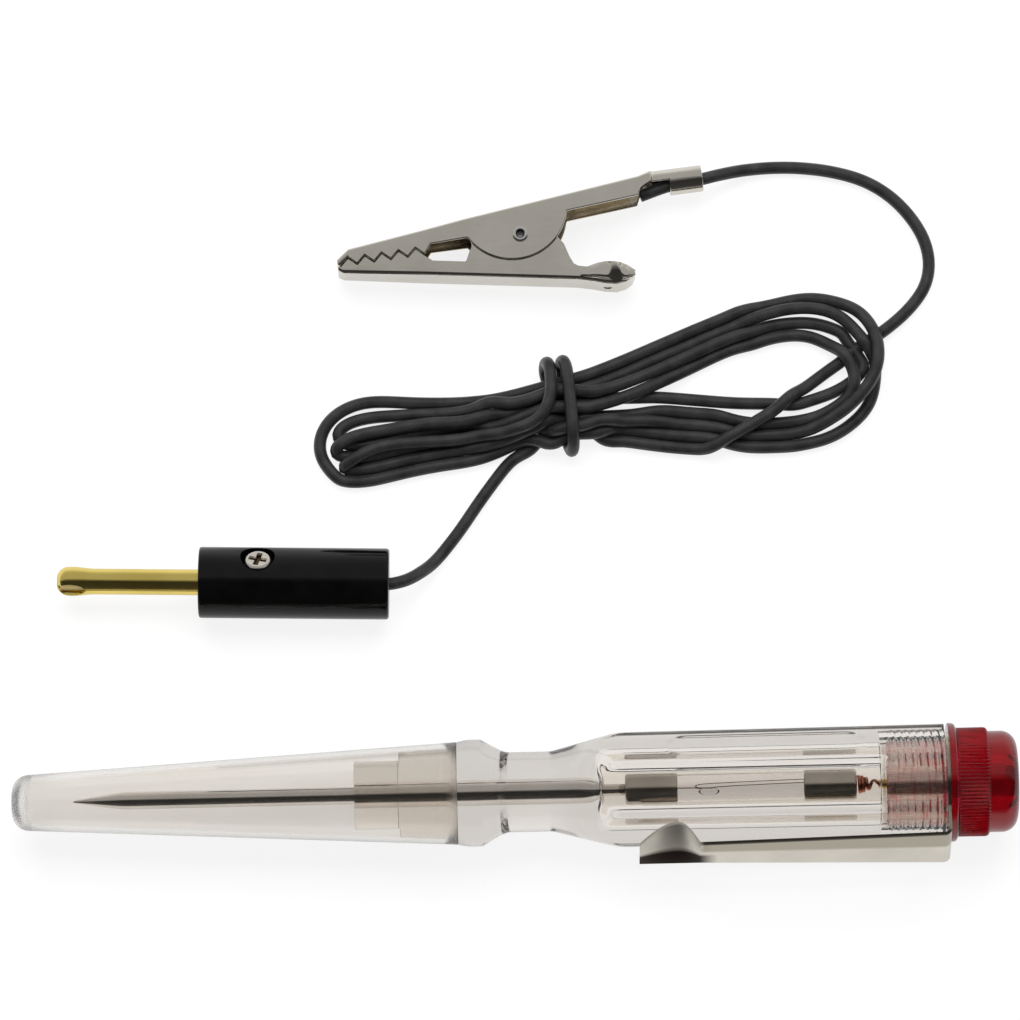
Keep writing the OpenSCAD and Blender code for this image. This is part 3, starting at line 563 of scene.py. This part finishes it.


# Painted shade: a darker, warmer colour on the faces that look into the clip
def painted_shade_in_clip(finish):
    low = finish.along(CLIP_PIVOT, (0, 0, 1), 6.2, 6.0)
    front = finish.along(CLIP_PIVOT, heading(CLIP_YAW, 1, 0), 16.4, 16.0)
    back = finish.along(CLIP_PIVOT, heading(CLIP_YAW, 1, 0), -13.4, -13.0)
    thumb_side = finish.along(CLIP_PIVOT, heading(CLIP_YAW, THUMB_SLOPE, 1), -5.6, -5.2)
    far_side = finish.along(CLIP_PIVOT, heading(CLIP_YAW, -HANDLE_SLOPE, 1), 4.0, 3.9)
    finish.paint(finish.all_of(low, front, back, thumb_side, far_side), (0.64, 0.56, 0.43))


# Painted light on the pin's inner turn: a paler, less metallic and rougher brass, so that it shows lit in the
# leaf-shaped opening
def painted_light_inner_turn(finish):
    inner = finish.along(PLUG_END, heading(PLUG_YAW, 1, 0), 1.36, 1.32, away=True)
    finish.paint(inner, (1.0, 0.79, 0.34))
    finish.link(finish.between(inner, 1, 0.2, 0, 1), finish.shader.inputs["Metallic"])
    finish.frost(inner, 0.3)


# Painted shade in the rivet's bore
def painted_shade_bore(finish):
    finish.paint(finish.along(CLIP_PIVOT, (0, 0, 1), 0.66, 0.58, away=True), (0.05, 0.04, 0.03))


# Painted shade in the screw head's cross recess
def painted_shade_slots(finish):
    finish.paint(finish.along(SCREW_TOP, [-v for v in SCREW_AXIS], 0.3, 0.42), (0.09, 0.055, 0.03))


MATERIALS = {
    "clear_barrel": clear_plastic("clear_barrel", (0.93, 0.88, 0.82), (0.96, 0.92, 0.87)),
    "clear_cover": clear_plastic("clear_cover", (0.97, 0.94, 0.9), (0.99, 0.97, 0.94), roughness=0.05,
                                 adapt=frosted_ends),
    "red_cap": clear_plastic("red_cap", (0.3, 0.0, 0.004), (0.4, 0.001, 0.008), roughness=0.04, clear=0.8,
                             adapt=painted_light_spigot),
    "lamp_glass": clear_plastic("lamp_glass", (0.95, 0.95, 0.96), (0.98, 0.98, 0.99), ior=1.5, roughness=0.0),
    "steel_probe": metal("steel_probe", (0.66, 0.63, 0.6), (0.74, 0.71, 0.68), (0.09, 0.16), (6, 0.06, 0.06)),
    "clip_steel": metal("clip_steel", (0.64, 0.6, 0.53), (0.75, 0.71, 0.63), grain=(5, 0.08, 0.08),
                        adapt=painted_reflections_on_clip),
    "jaw_steel": metal("jaw_steel", (0.68, 0.645, 0.57), (0.76, 0.725, 0.65), adapt=painted_shade_in_clip),
    "rivet_steel": metal("rivet_steel", (0.7, 0.69, 0.67), (0.8, 0.79, 0.77), grain=(0.3, 0.3, 0.3),
                         adapt=painted_shade_bore),
    "spring_steel": metal("spring_steel", (0.45, 0.45, 0.46), (0.58, 0.58, 0.6)),
    "screw_steel": metal("screw_steel", (0.6, 0.55, 0.48), (0.78, 0.74, 0.67), grain=(0.15, 0.15, 0.15),
                         adapt=painted_shade_slots),
    "plug_body": metal("plug_body", (0.55, 0.53, 0.5), (0.7, 0.68, 0.66), grain=(0.2, 0.2, 0.2)),
    "lamp_ferrule": metal("lamp_ferrule", (0.5, 0.47, 0.44), (0.62, 0.59, 0.55), (0.13, 0.22)),
    "brass_pin": metal("brass_pin", (0.78, 0.6, 0.15), (0.92, 0.73, 0.21), (0.14, 0.22), (4, 0.1, 0.1),
                       adapt=painted_light_inner_turn),
    "brass_socket": metal("brass_socket", (0.6, 0.4, 0.14), (0.78, 0.58, 0.24), (0.2, 0.34),
                          adapt=painted_light_socket_outside),
    "contact_spring": metal("contact_spring", (0.4, 0.13, 0.07), (0.6, 0.24, 0.14), (0.22, 0.35)),
    "filament": metal("filament", (0.2, 0.09, 0.06), (0.34, 0.16, 0.1), (0.3, 0.45)),
    "black_sleeve": black_plastic("black_sleeve", (0.06, 0.12), 0.001, 0.8, tone=0.0015, ior=1.33),
    "black_wire": black_plastic("black_wire", (0.28, 0.4), 0.002, 0.5, tone=0.017, ior=1.46),
}


def dress(obj, slot, body=None, nodes=()):
    obj.data.materials.clear()
    obj.data.materials.append(MATERIALS[slot])
    if body:
        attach(obj, body)
    if nodes:
        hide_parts(*nodes)


# Mesh tools
def keep_edges(obj, degrees=40):
    obj.data.set_sharp_from_angle(angle=math.radians(degrees))


def apply_modifiers(obj):
    bpy.context.view_layer.update()
    shape = bpy.data.meshes.new_from_object(obj.evaluated_get(bpy.context.evaluated_depsgraph_get()))
    obj.modifiers.clear()
    obj.data = shape


# Rounds off the edges that turn by more than an angle
def break_edges(obj, width, degrees, clamp=True):
    edge = obj.modifiers.new("edge", "BEVEL")
    edge.width = width * MM
    edge.segments = 3
    edge.use_clamp_overlap = clamp
    edge.limit_method = "ANGLE"
    edge.angle_limit = math.radians(degrees)
    apply_modifiers(obj)
    obj.data.shade_smooth()


# A turned piece from rows of (along, radius), whose radius a shape may change on the way round
def add_turned(name, rows, place, sides, ring=False, shape=None):
    points = [polar(place, u, shape(u, r, a) if shape else r, a)
              for u, r in rows for a in (math.tau * s / sides for s in range(sides))]
    return add_loops(name, points, sides, ring)


# The (face, column) pairs of one loop round a sheet: along its first face and back along its second
def both_faces(count):
    return [(0, c) for c in range(count)] + [(1, c) for c in reversed(range(count))]


# Corners of (along, radius, fillet) turned into a profile with its corners rounded
def rounded(corners, steps=4, ring=False):
    out = []
    count = len(corners)
    for i, (u, r, fillet) in enumerate(corners):
        ends = [corners[(i + k) % count] for k in (-1, 1)]
        if not fillet or (not ring and i in (0, count - 1)):
            out.append((u, r))
            continue
        here = np.array([u, r])
        cuts = []
        for end in ends:
            way = np.array(end[:2]) - here
            cuts.append(here + way * min(0.45, fillet / np.linalg.norm(way)))
        for t in np.linspace(0, 1, steps + 1):
            out.append(tuple((1 - t) ** 2 * cuts[0] + 2 * t * (1 - t) * here + t * t * cuts[1]))
    return out


# The same profile with no two rows further apart along the axis than the longest step
def stretch(profile, longest):
    out = [profile[0]]
    for (u0, r0), (u1, r1) in zip(profile, profile[1:]):
        count = max(1, math.ceil(abs(u1 - u0) / longest))
        out += [(u0 + (u1 - u0) * k / count, r0 + (r1 - r0) * k / count) for k in range(1, count + 1)]
    return out


# Height of a right-hand thread that fades in and out at its two ends
def thread(u, a, start, end, depth):
    fade = max(0.0, min(1.0, (u - start) / 0.8, (end - u) / 0.8))
    wave = 0.5 + 0.5 * math.cos(math.tau * (u / PITCH - a / math.tau))
    return depth * fade * wave ** 0.8


def add_barrel():
    front = rounded([
        (-14.1, 1.25, 0), (-14.1, 4.7, 0.3), (-7.9, 4.7, 0.15), (-7.9, 5.94, 0.2), (-0.02, 6.37, 0.05),
        (0, 7.05, 0.15), (1.5, 7.35, 0.6), (3.3, 7.35, 0.25), (6.2, 5.75, 0.3), (7.0, 5.5, 0.3),
        (FLARE, 5.5, 0.3), (FLARE_TOP, 7.97, 0), (28.4, 9.2, 0), (BARREL_END, 9.2, 0),
    ])
    outer = stretch(front, 0.45)
    last = outer[-1][0]
    outer = outer[:-1] + [(last - 0.12, 9.2), (last - 0.03, 9.17), (last, 9.1)]
    face = [(last, r) for r in (8.9, 8.0, 6.9, 6.35)]
    mouth = [(last - k / 12, MOUTH_R) for k in range(int((last - MOUTH) * 12) + 1)]
    bore = rounded([
        (MOUTH, MOUTH_R, 0), (MOUTH, 3.5, 0.15), (CHAMBER, 3.5, 1.4), (CHAMBER, 1.19, 0), (-13.9, 1.19, 0),
        (-14.1, 1.25, 0),
    ])
    rows = outer + face + mouth + bore[:-1]
    inner = len(outer) + len(face)
    sides = 240

    def flats(u, a):
        half = 6.9 + 0.2 * (u - FLARE) / (BARREL_END - FLARE)
        side = sum(max(0, math.cos(a - math.radians(FACET + 60 * k))) ** 50 for k in range(6)) ** (1 / 50)
        return half / side

    # Bare recessed panel on the facet that looks up and to +Y
    def panel(u, r, a):
        across = r * math.sin(a - math.radians(FACET))
        end = max(abs(u - 42.5) - 11.0, 0)
        edge = 2.5 - math.hypot(end, across - 0.4)
        return 0.14 * max(0.0, min(1.0, edge / 0.35 + 0.5))

    points = []
    for k, (u, r) in enumerate(rows):
        for s in range(sides):
            a = math.tau * s / sides
            size = r
            if k < inner and u > FLARE - 1:
                size = (r ** -70 + flats(u, a) ** -70) ** (-1 / 70)
                if abs(a - math.radians(FACET)) < 0.6:
                    size -= panel(u, size, a)
            elif r == MOUTH_R:
                size += thread(u, a, MOUTH + 0.6, BARREL_END + 2, 0.16)
            points.append(polar(on_pen, u, size, a))
    barrel = add_loops("barrel_shell", points, sides, ring=True)
    keep_edges(barrel, 34)
    dress(barrel, "clear_barrel", "tester", ["barrel"])


def add_cover():
    slope = 3.2 / 58.8
    tip_r = 2.4
    outer = [(COVER_TIP, 0.05), (COVER_TIP, 0.8)]
    outer += [(COVER_TIP + tip_r - tip_r * math.cos(t), 1.45 + tip_r * math.sin(t))
              for t in np.linspace(0.02, math.pi / 2, 14)]
    outer += [(-0.15, 7.05 - 0.15 * slope), (-0.03, 7.02), (0, 6.94)]
    inner = [(0, 6.5), (-0.12, 6.4), (-8.0, 6.4 - 8.0 * slope), (-58.3, 3.86 - 0.75), (-58.9, 3.0),
             (-59.4, 2.55), (-59.75, 1.9), (-59.9, 1.1), (-59.9, 0.05)]
    cover = add_turned("cover_shell", stretch(outer, 2) + stretch(inner, 2), on_pen, 160)
    keep_edges(cover)
    dress(cover, "clear_cover", "cover", ["probe_cover"])


def add_probe():
    rows = [(-52.8, 0.02), (-52.75, 0.1), (-52.5, 0.18), (-49.0, 0.75), (-46.2, 1.16), (-45.4, 1.2),
            (22.8, 1.2), (22.95, 1.1), (23.0, 0.95)]
    probe = add_turned("probe_rod", stretch(rows, 6), on_pen, 64)
    keep_edges(probe)
    dress(probe, "steel_probe", "tester", ["probe"])


def add_lamp():
    start, end = LAMP + FERRULE, LAMP_END - FERRULE
    glass = rounded([(start, 2.5, 0), (start, 3.0, 0), (end, 3.0, 0), (end, 2.5, 0)])
    tube = add_turned("lamp_tube", glass, on_pen, 96, ring=True)
    keep_edges(tube)
    dress(tube, "lamp_glass", "tester", ["lamp_glass"])
    profile = rounded([
        (0, 0.02, 0), (0, 2.9, 0.35), (0.3, 3.175, 0.3), (6.9, 3.175, 0.2), (7.2, 3.12, 0.1), (7.2, 3.0, 0),
        (FERRULE, 3.0, 0), (FERRULE, 2.5, 0), (0.4, 2.5, 0.2), (0.4, 0.02, 0),
    ])
    for name, foot, way in (("lamp_ferrule_front", LAMP, 1), ("lamp_ferrule_rear", LAMP_END, -1)):
        cup = add_turned(name + "_cup", [(foot + way * u, r) for u, r in profile], on_pen, 96)
        keep_edges(cup)
        dress(cup, "lamp_ferrule", "tester", [name])


# Support wire, the filament's V and the glass bead
def add_filament():
    hook = LAMP + 7.2 + 2.4
    at = [(LAMP + 0.4, 0, 0), (hook - 1.2, 0.02, 0), (hook, 0.0, 0), (hook + 1.3, -0.25, 0),
          (hook + 2.4, -0.3, 0)]
    support = add_wire("filament_support", smooth_line([on_pen(*p) for p in at], 0.3), 0.1, 8)
    at = [(LAMP_END - 0.4, 1.62, 0), (hook + 6, 1.02, 0.1), (hook + 0.75, 0.72, 0), (hook + 0.15, 0.5, 0),
          (hook + 0.1, 0.24, 0), (hook + 0.5, 0.02, 0), (hook + 6, 0.35, -0.1), (LAMP_END - 0.4, 0.9, 0)]
    legs = add_wire("filament_legs", smooth_line([on_pen(*p) for p in at], 0.12), 0.09, 8)
    rows = [(hook + 1.92 - 1.45 * math.cos(t), max(0.02, 0.85 * math.sin(t)))
            for t in np.linspace(0.02, math.pi - 0.02, 20)]
    bead = add_turned("filament_bead", rows, lambda u, y, z: on_pen(u, y - 0.75, z), 40)
    dress(support, "filament", "tester", ["lamp_filament"])
    dress(legs, "filament", "tester")
    dress(bead, "lamp_glass", "tester")


def add_cap():
    socket_end = CAP_END - 2
    dome = [(CAP_END - 2.2 + 2.2 * math.sin(t), 4.78 + 2.2 * math.cos(t))
            for t in np.linspace(0, math.pi / 2, 12)]
    rows = (
        [(SPIGOT, 2.48), (SPIGOT, 5.4), (SPIGOT + 0.25, 5.65)]
        + [(SPIGOT + 0.3 + k / 8, SPIGOT_R) for k in range(int((BARREL_END - SPIGOT - 0.4) * 8))]
        + [(BARREL_END - 0.1, 5.84), (FLANGE, 5.84)]
        + rounded([(FLANGE, 5.84, 0), (FLANGE, 8.2, 0.18), (FLANGE + 0.9, 8.15, 0.3), (KNURL, 7.6, 0)])[1:]
        + [(KNURL + 0.05, 7.5), (KNURL + 0.3, 7.5), (DOME - 0.5, 7.5), (DOME - 0.2, 7.42), (DOME - 0.02, 7.2)]
        + [(DOME, 7.0), (DOME + 0.1, 6.98)] + dome
        + rounded([(CAP_END, 4.7, 0), (CAP_END, 2.2, 0.25), (socket_end, 2.2, 0), (socket_end, 2.48, 0)])[1:]
    )

    def ribs(u, r, a):
        if KNURL < u < DOME:
            fade = min(1, max(0, (u - KNURL) * 4), max(0, (DOME - u) * 3))
            return r - 0.2 * (0.5 - 0.5 * math.cos(90 * a)) * fade
        if r == SPIGOT_R:
            return r + thread(u, a, SPIGOT, BARREL_END, 0.2)
        return r

    cap = add_turned("cap_shell", rows, on_pen, 540, ring=True, shape=ribs)
    keep_edges(cap, 42)
    dress(cap, "red_cap", "cap", ["end_cap"])
    rows = rounded([
        (SPIGOT - 1, 0.02, 0), (SPIGOT - 1, 0.9, 0.3), (SPIGOT, 0.9, 0), (SPIGOT, 2.5, 0),
        (socket_end, 2.5, 0), (socket_end, 2.0, 0.15), (SPIGOT + 0.8, 2.0, 0.2), (SPIGOT + 0.8, 0.02, 0),
    ])
    socket = add_turned("socket_sleeve", rows, on_pen, 80)
    keep_edges(socket)
    dress(socket, "brass_socket", "cap", ["socket_contact"])


# Conical coil between the lamp and the cap's contact, its last turns pulled out
def add_contact_coil():
    turns = 3.5
    points = []
    for t in np.linspace(0, 1, int(16 * turns) + 1):
        u, r = LAMP_END + 0.25 + 1.6 * t + 1.9 * t ** 6, 1.7 - 1.2 * t ** 2
        points.append(polar(on_pen, u, r, math.tau * turns * t))
    coil = add_wire("contact_coil", smooth_line(points, 0.25), 0.25, 10)
    dress(coil, "contact_spring", "cap_carrier", ["contact_spring"])


def on_pocket_clip(x, y, z):
    c, s = math.cos(POCKET_TURN), math.sin(POCKET_TURN)
    return (PEN[0] + x, PEN[1] + y * c - z * s, PEN[2] + y * s + z * c)


# Pocket clip: the sheet rises behind the barrel's end, bends over it, runs on as the arm and curls up
def add_pocket_clip():
    back, out, bend = BARREL_END + CLIP_T, ARM_IN + CLIP_T, 1.0
    root, tip, across = 3.85, 2.5, 12
    stations = [(back, z, 1, 0, root) for z in np.linspace(5.2, out - bend, 8)[:-1]]
    for t in np.linspace(0, math.pi / 2, 10):
        c, s = math.cos(t), math.sin(t)
        stations.append((back - bend + bend * c, out - bend + bend * s, c, s, root))
    for t in np.linspace(0, 1, 22)[1:]:
        stations.append((back - bend + (ARM_END - back + bend) * t, out, 0, 1, root - (root - tip) * t))
    points = []
    for x, z, nx, nz, half in stations:
        for far, c in both_faces(across + 1):
            inward = CLIP_T * far
            points.append((x - nx * inward, -half + 2 * half * c / across, z - nz * inward))
    peak = 0.35
    for t in np.arange(1, 27) / 26:
        rising, falling = math.sin(math.pi / 2 * t / peak), math.cos(math.pi / 2 * (t - peak) / (1 - peak))
        pinch = rising if t < peak else falling
        for far, c in both_faces(across + 1):
            s = c / across
            y = -tip + (2 * tip + 0.8 * pinch) * s
            points.append((ARM_END - CURL * t, y, out - 2.8 * pinch * s ** 1.3 - CLIP_T * far))
    arm = add_loops("pocket_clip_sheet", [on_pocket_clip(*p) for p in points], 2 * (across + 1))
    keep_edges(arm)
    rows = [(BARREL_END, 6.0), (BARREL_END, 7.0), (FLANGE, 7.0), (FLANGE, 6.0)]
    ring = add_turned("pocket_clip_ring", rows, on_pen, 96, ring=True)
    keep_edges(ring)
    dress(arm, "clip_steel", "tester", ["pocket_clip"])
    dress(ring, "clip_steel", "tester")


# Plug sleeve with a hole over the clamp screw
def add_sleeve():
    rows = rounded([
        (-26.4, 3.0, 0), (-26.4, 4.95, 0.4), (0, 4.95, 0.5), (0, 1.08, 0.2), (-10.6, 1.08, 0),
        (-10.7, 3.0, 0),
    ], steps=6, ring=True)
    sleeve = add_turned("plug_grip", rows, on_plug, 128, ring=True)
    axis = Vector(SCREW_AXIS)
    centre = Vector(on_plug(SCREW_AT, 0, 0)) + axis * 4.2
    bpy.ops.mesh.primitive_cylinder_add(vertices=64, radius=2.4 * MM, depth=4 * MM, location=centre * MM,
                                        rotation=axis.to_track_quat("Z", "Y").to_euler())
    cutter = bpy.context.object
    cut = sleeve.modifiers.new("hole", "BOOLEAN")
    cut.object = cutter
    cut.solver = "EXACT"
    apply_modifiers(sleeve)
    bpy.data.objects.remove(cutter)
    break_edges(sleeve, 0.12, 40)
    keep_edges(sleeve, 35)
    dress(sleeve, "black_sleeve", "tester", ["plug_sleeve"])


# Rolled pin: one sheet whose edges part in a leaf shape at the bulge, and a narrower turn inside it
def add_pin():
    tip, root, nose = -46.1, -21.4, 1.4
    bulge, bulge_half = -43.9, 2.9
    leaf, leaf_half = -44.2, 2.2
    seam, sheet, around = math.radians(145), 0.4, 48

    def radius(u):
        ease = max(0, 1 - abs(u - bulge) / bulge_half)
        swell = 0.25 * (3 * ease ** 2 - 2 * ease ** 3)
        end = max(0.0, 1 - (u - tip) / nose)
        return 1.8 + swell - 1.3 * (1 - math.sqrt(1 - end * end))

    points = []
    for u in np.r_[tip + nose * np.linspace(0, 1, 16) ** 2, np.linspace(-44.6, -41.6, 24),
                   np.linspace(-41.2, root, 24)]:
        gap = 0.02 + 0.5 * max(0.0, 1 - ((u - leaf) / leaf_half) ** 2) ** 0.7
        r = radius(u)
        for far, c in both_faces(around + 1):
            a = seam + gap + (math.tau - 2 * gap) * c / around
            points.append(polar(on_plug, u, r - sheet * far, a))
    pin = add_loops("plug_pin_rolled", points, 2 * (around + 1))
    keep_edges(pin, 50)
    dress(pin, "brass_pin", "tester", ["plug_pin"])
    rows = rounded([
        (-45.9, 0.3, 0), (-45.6, 1.3, 0.5), (-38, 1.3, 0), (-38, 1.0, 0), (-45.3, 0.9, 0.2), (-45.6, 0.3, 0),
    ])
    turn = add_turned("plug_pin_inner_turn", rows, on_plug, 64, ring=True)
    keep_edges(turn)
    dress(turn, "brass_pin", "tester")


# Domed screw head with a cross recess, on a square grid drawn out to a disc
def add_screw():
    across, turn, foot = 64, math.radians(-16), 2.6
    slot_reach, slot_half, slot_depth = 1.2, 0.3, 0.55
    up = Vector(SCREW_AXIS)
    right = Vector((1, 0, 0))
    ahead = up.cross(right)

    def height(x, y):
        one = x * math.cos(turn) + y * math.sin(turn)
        two = y * math.cos(turn) - x * math.sin(turn)
        inside = min(slot_reach - max(abs(one), abs(two)), slot_half - min(abs(one), abs(two)))
        cut = max(0.0, min(1.0, 0.5 + 9 * inside))
        rim = max(0.0, math.hypot(x, y) - 0.8 * SCREW_R)
        return -slot_depth * cut - 1.6 * rim ** 2

    points = []
    for i in range(across + 1):
        for k in range(across + 1):
            a, b = 2 * i / across - 1, 2 * k / across - 1
            x, y = SCREW_R * a * math.sqrt(1 - b * b / 2), SCREW_R * b * math.sqrt(1 - a * a / 2)
            points.append(Vector(SCREW_TOP) + right * x + ahead * y + up * height(x, y))
    row = across + 1
    faces = grid_faces(row, row, wrap_around=False)
    border = list(range(row)) + [i * row + across for i in range(1, row)]
    border += [across * row + k for k in range(across - 1, -1, -1)]
    border += [i * row for i in range(across - 1, 0, -1)]
    first, count = len(points), len(border)
    points += [points[n] - up * foot for n in border]
    faces += [(border[n], border[(n + 1) % count], first + (n + 1) % count, first + n) for n in range(count)]
    faces.append(tuple(range(first, first + count)))
    screw = add_mesh("screw_head", points, faces)
    keep_edges(screw, 38)
    dress(screw, "screw_steel", "tester", ["plug_screw"])


# A node's plain solid copied, with its edges broken and its bends shaded round
def add_pressed(name, node, body):
    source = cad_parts[node]
    plate = bpy.data.objects.new(name, source.data.copy())
    plate.matrix_world = source.matrix_world.copy()
    bpy.context.scene.collection.objects.link(plate)
    work = bmesh.new()
    work.from_mesh(plate.data)
    bmesh.ops.remove_doubles(work, verts=work.verts, dist=0.0005 * MM)
    bmesh.ops.dissolve_limit(work, angle_limit=math.radians(0.4), verts=work.verts, edges=work.edges)
    work.to_mesh(plate.data)
    work.free()
    break_edges(plate, 0.15, 42, clamp=False)
    keep_edges(plate, 36)
    weight = plate.modifiers.new("weight", "WEIGHTED_NORMAL")
    weight.weight = 100
    weight.keep_sharp = True
    apply_modifiers(plate)
    dress(plate, "jaw_steel", body, [node])
    return plate


# Pressed grip on the lower jaw's thumb end: a pillow with a hollow across it
def add_thumb_grip():
    top = np.array([(7.5, -5.45), (8.6, -5.72), (9.4, -5.6), (10.2, -5.38), (11.3, -5.3), (12.4, -5.42),
                    (13.4, -5.72), (14.2, -6.2), (14.8, -6.75), (15.1, -7.15), (15.25, -7.6)])
    low = np.array([(7.5, -7.0), (9.4, -7.5), (11, -7.95), (12.5, -8.3), (13.8, -8.3), (14.8, -8.05),
                    (15.25, -7.75)])
    start, end = 7.5, 15.25
    wall, swollen, sunk, count = 6.35, 0.6, 0.2, 22
    points = []
    for x in np.linspace(start, end, 56):
        y_top, y_low = np.interp(x, *top.T), np.interp(x, *low.T)
        rise = min(1.0, (x - start) / 2.2, (end - x) / 1.2 + 0.05)
        hollow = math.exp(-(((x - 12.5) / 0.8) ** 4))
        crest = 0.78 - 0.66 * hollow
        for far, c in both_faces(count):
            t = c / (count - 1)
            y = y_top + (y_low - y_top) * t
            swell = 1 - ((t - crest) / (crest if t < crest else 1 - crest)) ** 2
            dimple = 0.03 * math.sin(5.5 * x) * math.sin(6 * y) * (x > 13.4)
            z = wall - sunk if far else wall + (swollen * swell + dimple) * rise
            points.append(on_clip(x, y, z))
    grip = add_loops("thumb_grip", points, 2 * count)
    keep_edges(grip, 50)
    dress(grip, "jaw_steel", "lower_jaw")
    return grip


def add_rivet():
    rows = rounded([
        (-0.25, 0.55, 0.2), (-0.25, 1.05, 0.2), (0, 1.05, 0), (0, 0.8, 0), (6.9, 0.8, 0), (6.9, 1.1, 0),
        (7.2, 1.05, 0.25), (7.2, 0.5, 0.25),
    ], ring=True)
    rivet = add_turned("rivet_tube", rows, lambda u, y, z: on_clip(y, z, u), 48, ring=True)
    keep_edges(rivet, 50)
    dress(rivet, "rivet_steel", "tester", ["clip_rivet"])
    return rivet


# Coil round the rivet with a leg out to each jaw
def add_clip_coil():
    coil_r, turns = 1.5, 4
    low, high = 1.9, 5.0
    lower_end = (6.7, -6.2 - THUMB_SLOPE * 6.7 + 0.85, low)
    upper_end = (8.6, 4.2 + HANDLE_SLOPE * 8.6 - 0.75, high)

    def tangent(p, side):
        return math.atan2(p[1], p[0]) + side * math.acos(coil_r / math.hypot(p[0], p[1]))

    def leg(end, a, shares):
        x, y, z = end
        return [(x * s + coil_r * math.cos(a) * (1 - s), y * s + coil_r * math.sin(a) * (1 - s), z)
                for s in shares]

    first, last = tangent(lower_end, 1), tangent(upper_end, -1) + turns * math.tau
    at = leg(lower_end, first, (1, 0.75, 0.5, 0.25))
    for t in np.linspace(0, 1, 73):
        a = first + (last - first) * t
        at.append((coil_r * math.cos(a), coil_r * math.sin(a), low + (high - low) * t))
    at += leg(upper_end, last, (0.25, 0.5, 0.75, 1))
    spring = add_wire("clip_coil", smooth_line([on_clip(*p) for p in at], 0.25), 0.3, 12)
    dress(spring, "spring_steel", nodes=["clip_spring"])
    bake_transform(spring)
    return spring


def add_crocodile_clip():
    return [add_pressed("upper_jaw_plate", "clip_upper_jaw", "tester"),
            add_pressed("lower_jaw_plate", "clip_lower_jaw", "lower_jaw"),
            add_thumb_grip(), add_rivet(), add_clip_coil()]


# Studio: an emptied node tree, as the calls that add a node and a link to it
def new_tree(owner):
    owner.use_nodes = True
    owner.node_tree.nodes.clear()
    return owner.node_tree.nodes.new, owner.node_tree.links.new


# The largest of the given amounts among the kinds of ray that look at the surface
def seen(new, link, amounts):
    path = new("ShaderNodeLightPath")
    total = None
    for name, amount in amounts.items():
        share = new("ShaderNodeMath")
        share.operation = "MULTIPLY"
        share.inputs[1].default_value = amount
        link(path.outputs[name], share.inputs[0])
        if total is None:
            total = share.outputs[0]
            continue
        top = new("ShaderNodeMath")
        top.operation = "MAXIMUM"
        link(total, top.inputs[0])
        link(share.outputs[0], top.inputs[1])
        total = top.outputs[0]
    return total


# Pale floor: it glows a little for the camera and for what mirrors or shows through, and takes shadows
def add_floor():
    bpy.ops.mesh.primitive_plane_add(size=6000 * MM)
    floor = bpy.context.object
    floor.name = "floor"
    material = bpy.data.materials.new("floor")
    new, link = new_tree(material)
    output = new("ShaderNodeOutputMaterial")
    diffuse = new("ShaderNodeBsdfDiffuse")
    diffuse.inputs["Color"].default_value = (0.2, 0.2, 0.2, 1)
    glow = new("ShaderNodeEmission")
    both = new("ShaderNodeAddShader")
    link(diffuse.outputs[0], both.inputs[0])
    link(glow.outputs[0], both.inputs[1])
    link(both.outputs[0], output.inputs["Surface"])
    rays = {"Is Camera Ray": 0.83, "Is Glossy Ray": 0.64, "Is Transmission Ray": 0.62}
    link(seen(new, link, rays), glow.inputs["Strength"])
    floor.data.materials.append(material)


# Sky that objects mirror, in (degrees, level) from the camera's side up over the top and down to +Y
def add_sky():
    stops = [(-90, 0.7), (-85, 0.3), (-77, 0.05), (-7, 0.03), (4, 0.2), (9, 0.45), (32, 0.44), (60, 0.45),
             (78, 0.6), (90, 0.8)]
    world = bpy.data.worlds.new("world")
    bpy.context.scene.world = world
    new, link = new_tree(world)
    split = new("ShaderNodeSeparateXYZ")
    link(new("ShaderNodeTexCoord").outputs["Generated"], split.inputs[0])
    lean = new("ShaderNodeMath")
    lean.operation = "ARCTAN2"
    link(split.outputs["Y"], lean.inputs[0])
    link(split.outputs["Z"], lean.inputs[1])
    span = new("ShaderNodeMapRange")
    span.inputs["From Min"].default_value = -math.pi / 2
    span.inputs["From Max"].default_value = math.pi / 2
    link(lean.outputs[0], span.inputs["Value"])
    ramp = new("ShaderNodeValToRGB")
    while len(ramp.color_ramp.elements) < len(stops):
        ramp.color_ramp.elements.new(0.5)
    for stop, (degrees, level) in zip(ramp.color_ramp.elements, stops):
        stop.position = (degrees + 90) / 180
        stop.color = (level, level, level, 1)
    link(span.outputs[0], ramp.inputs[0])
    sky = new("ShaderNodeBackground")
    link(ramp.outputs[0], sky.inputs["Color"])
    white = new("ShaderNodeBackground")
    mix = new("ShaderNodeMixShader")
    output = new("ShaderNodeOutputWorld")
    link(seen(new, link, {"Is Camera Ray": 1.0}), mix.inputs["Fac"])
    link(sky.outputs[0], mix.inputs[1])
    link(white.outputs[0], mix.inputs[2])
    link(mix.outputs[0], output.inputs["Surface"])


def add_lamp_light(name, place, size, watts):
    data = bpy.data.lights.new(name, "AREA")
    data.shape = "RECTANGLE"
    data.size, data.size_y = (side * MM for side in size)
    data.energy = watts
    light = bpy.data.objects.new(name, data)
    light.location = Vector(place) * MM
    middle = Vector((0, 40, 0))
    light.rotation_euler = (middle - Vector(place)).to_track_quat("-Z", "Y").to_euler()
    light.visible_glossy = False
    light.visible_transmission = False
    bpy.context.scene.collection.objects.link(light)


add_floor()
add_sky()
add_lamp_light("key", (0, 500, 800), (1000, 700), 9.0)
add_lamp_light("fill", (0, -500, 700), (800, 500), 2.5)

dress(lead, "black_wire")
add_barrel()
add_cover()
add_probe()
add_lamp()
add_filament()
add_cap()
add_contact_coil()
add_pocket_clip()
add_sleeve()
add_pin()
add_screw()
dress(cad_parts["plug_core"], "plug_body")
add_crocodile_clip()

bpy.context.view_layer.update()
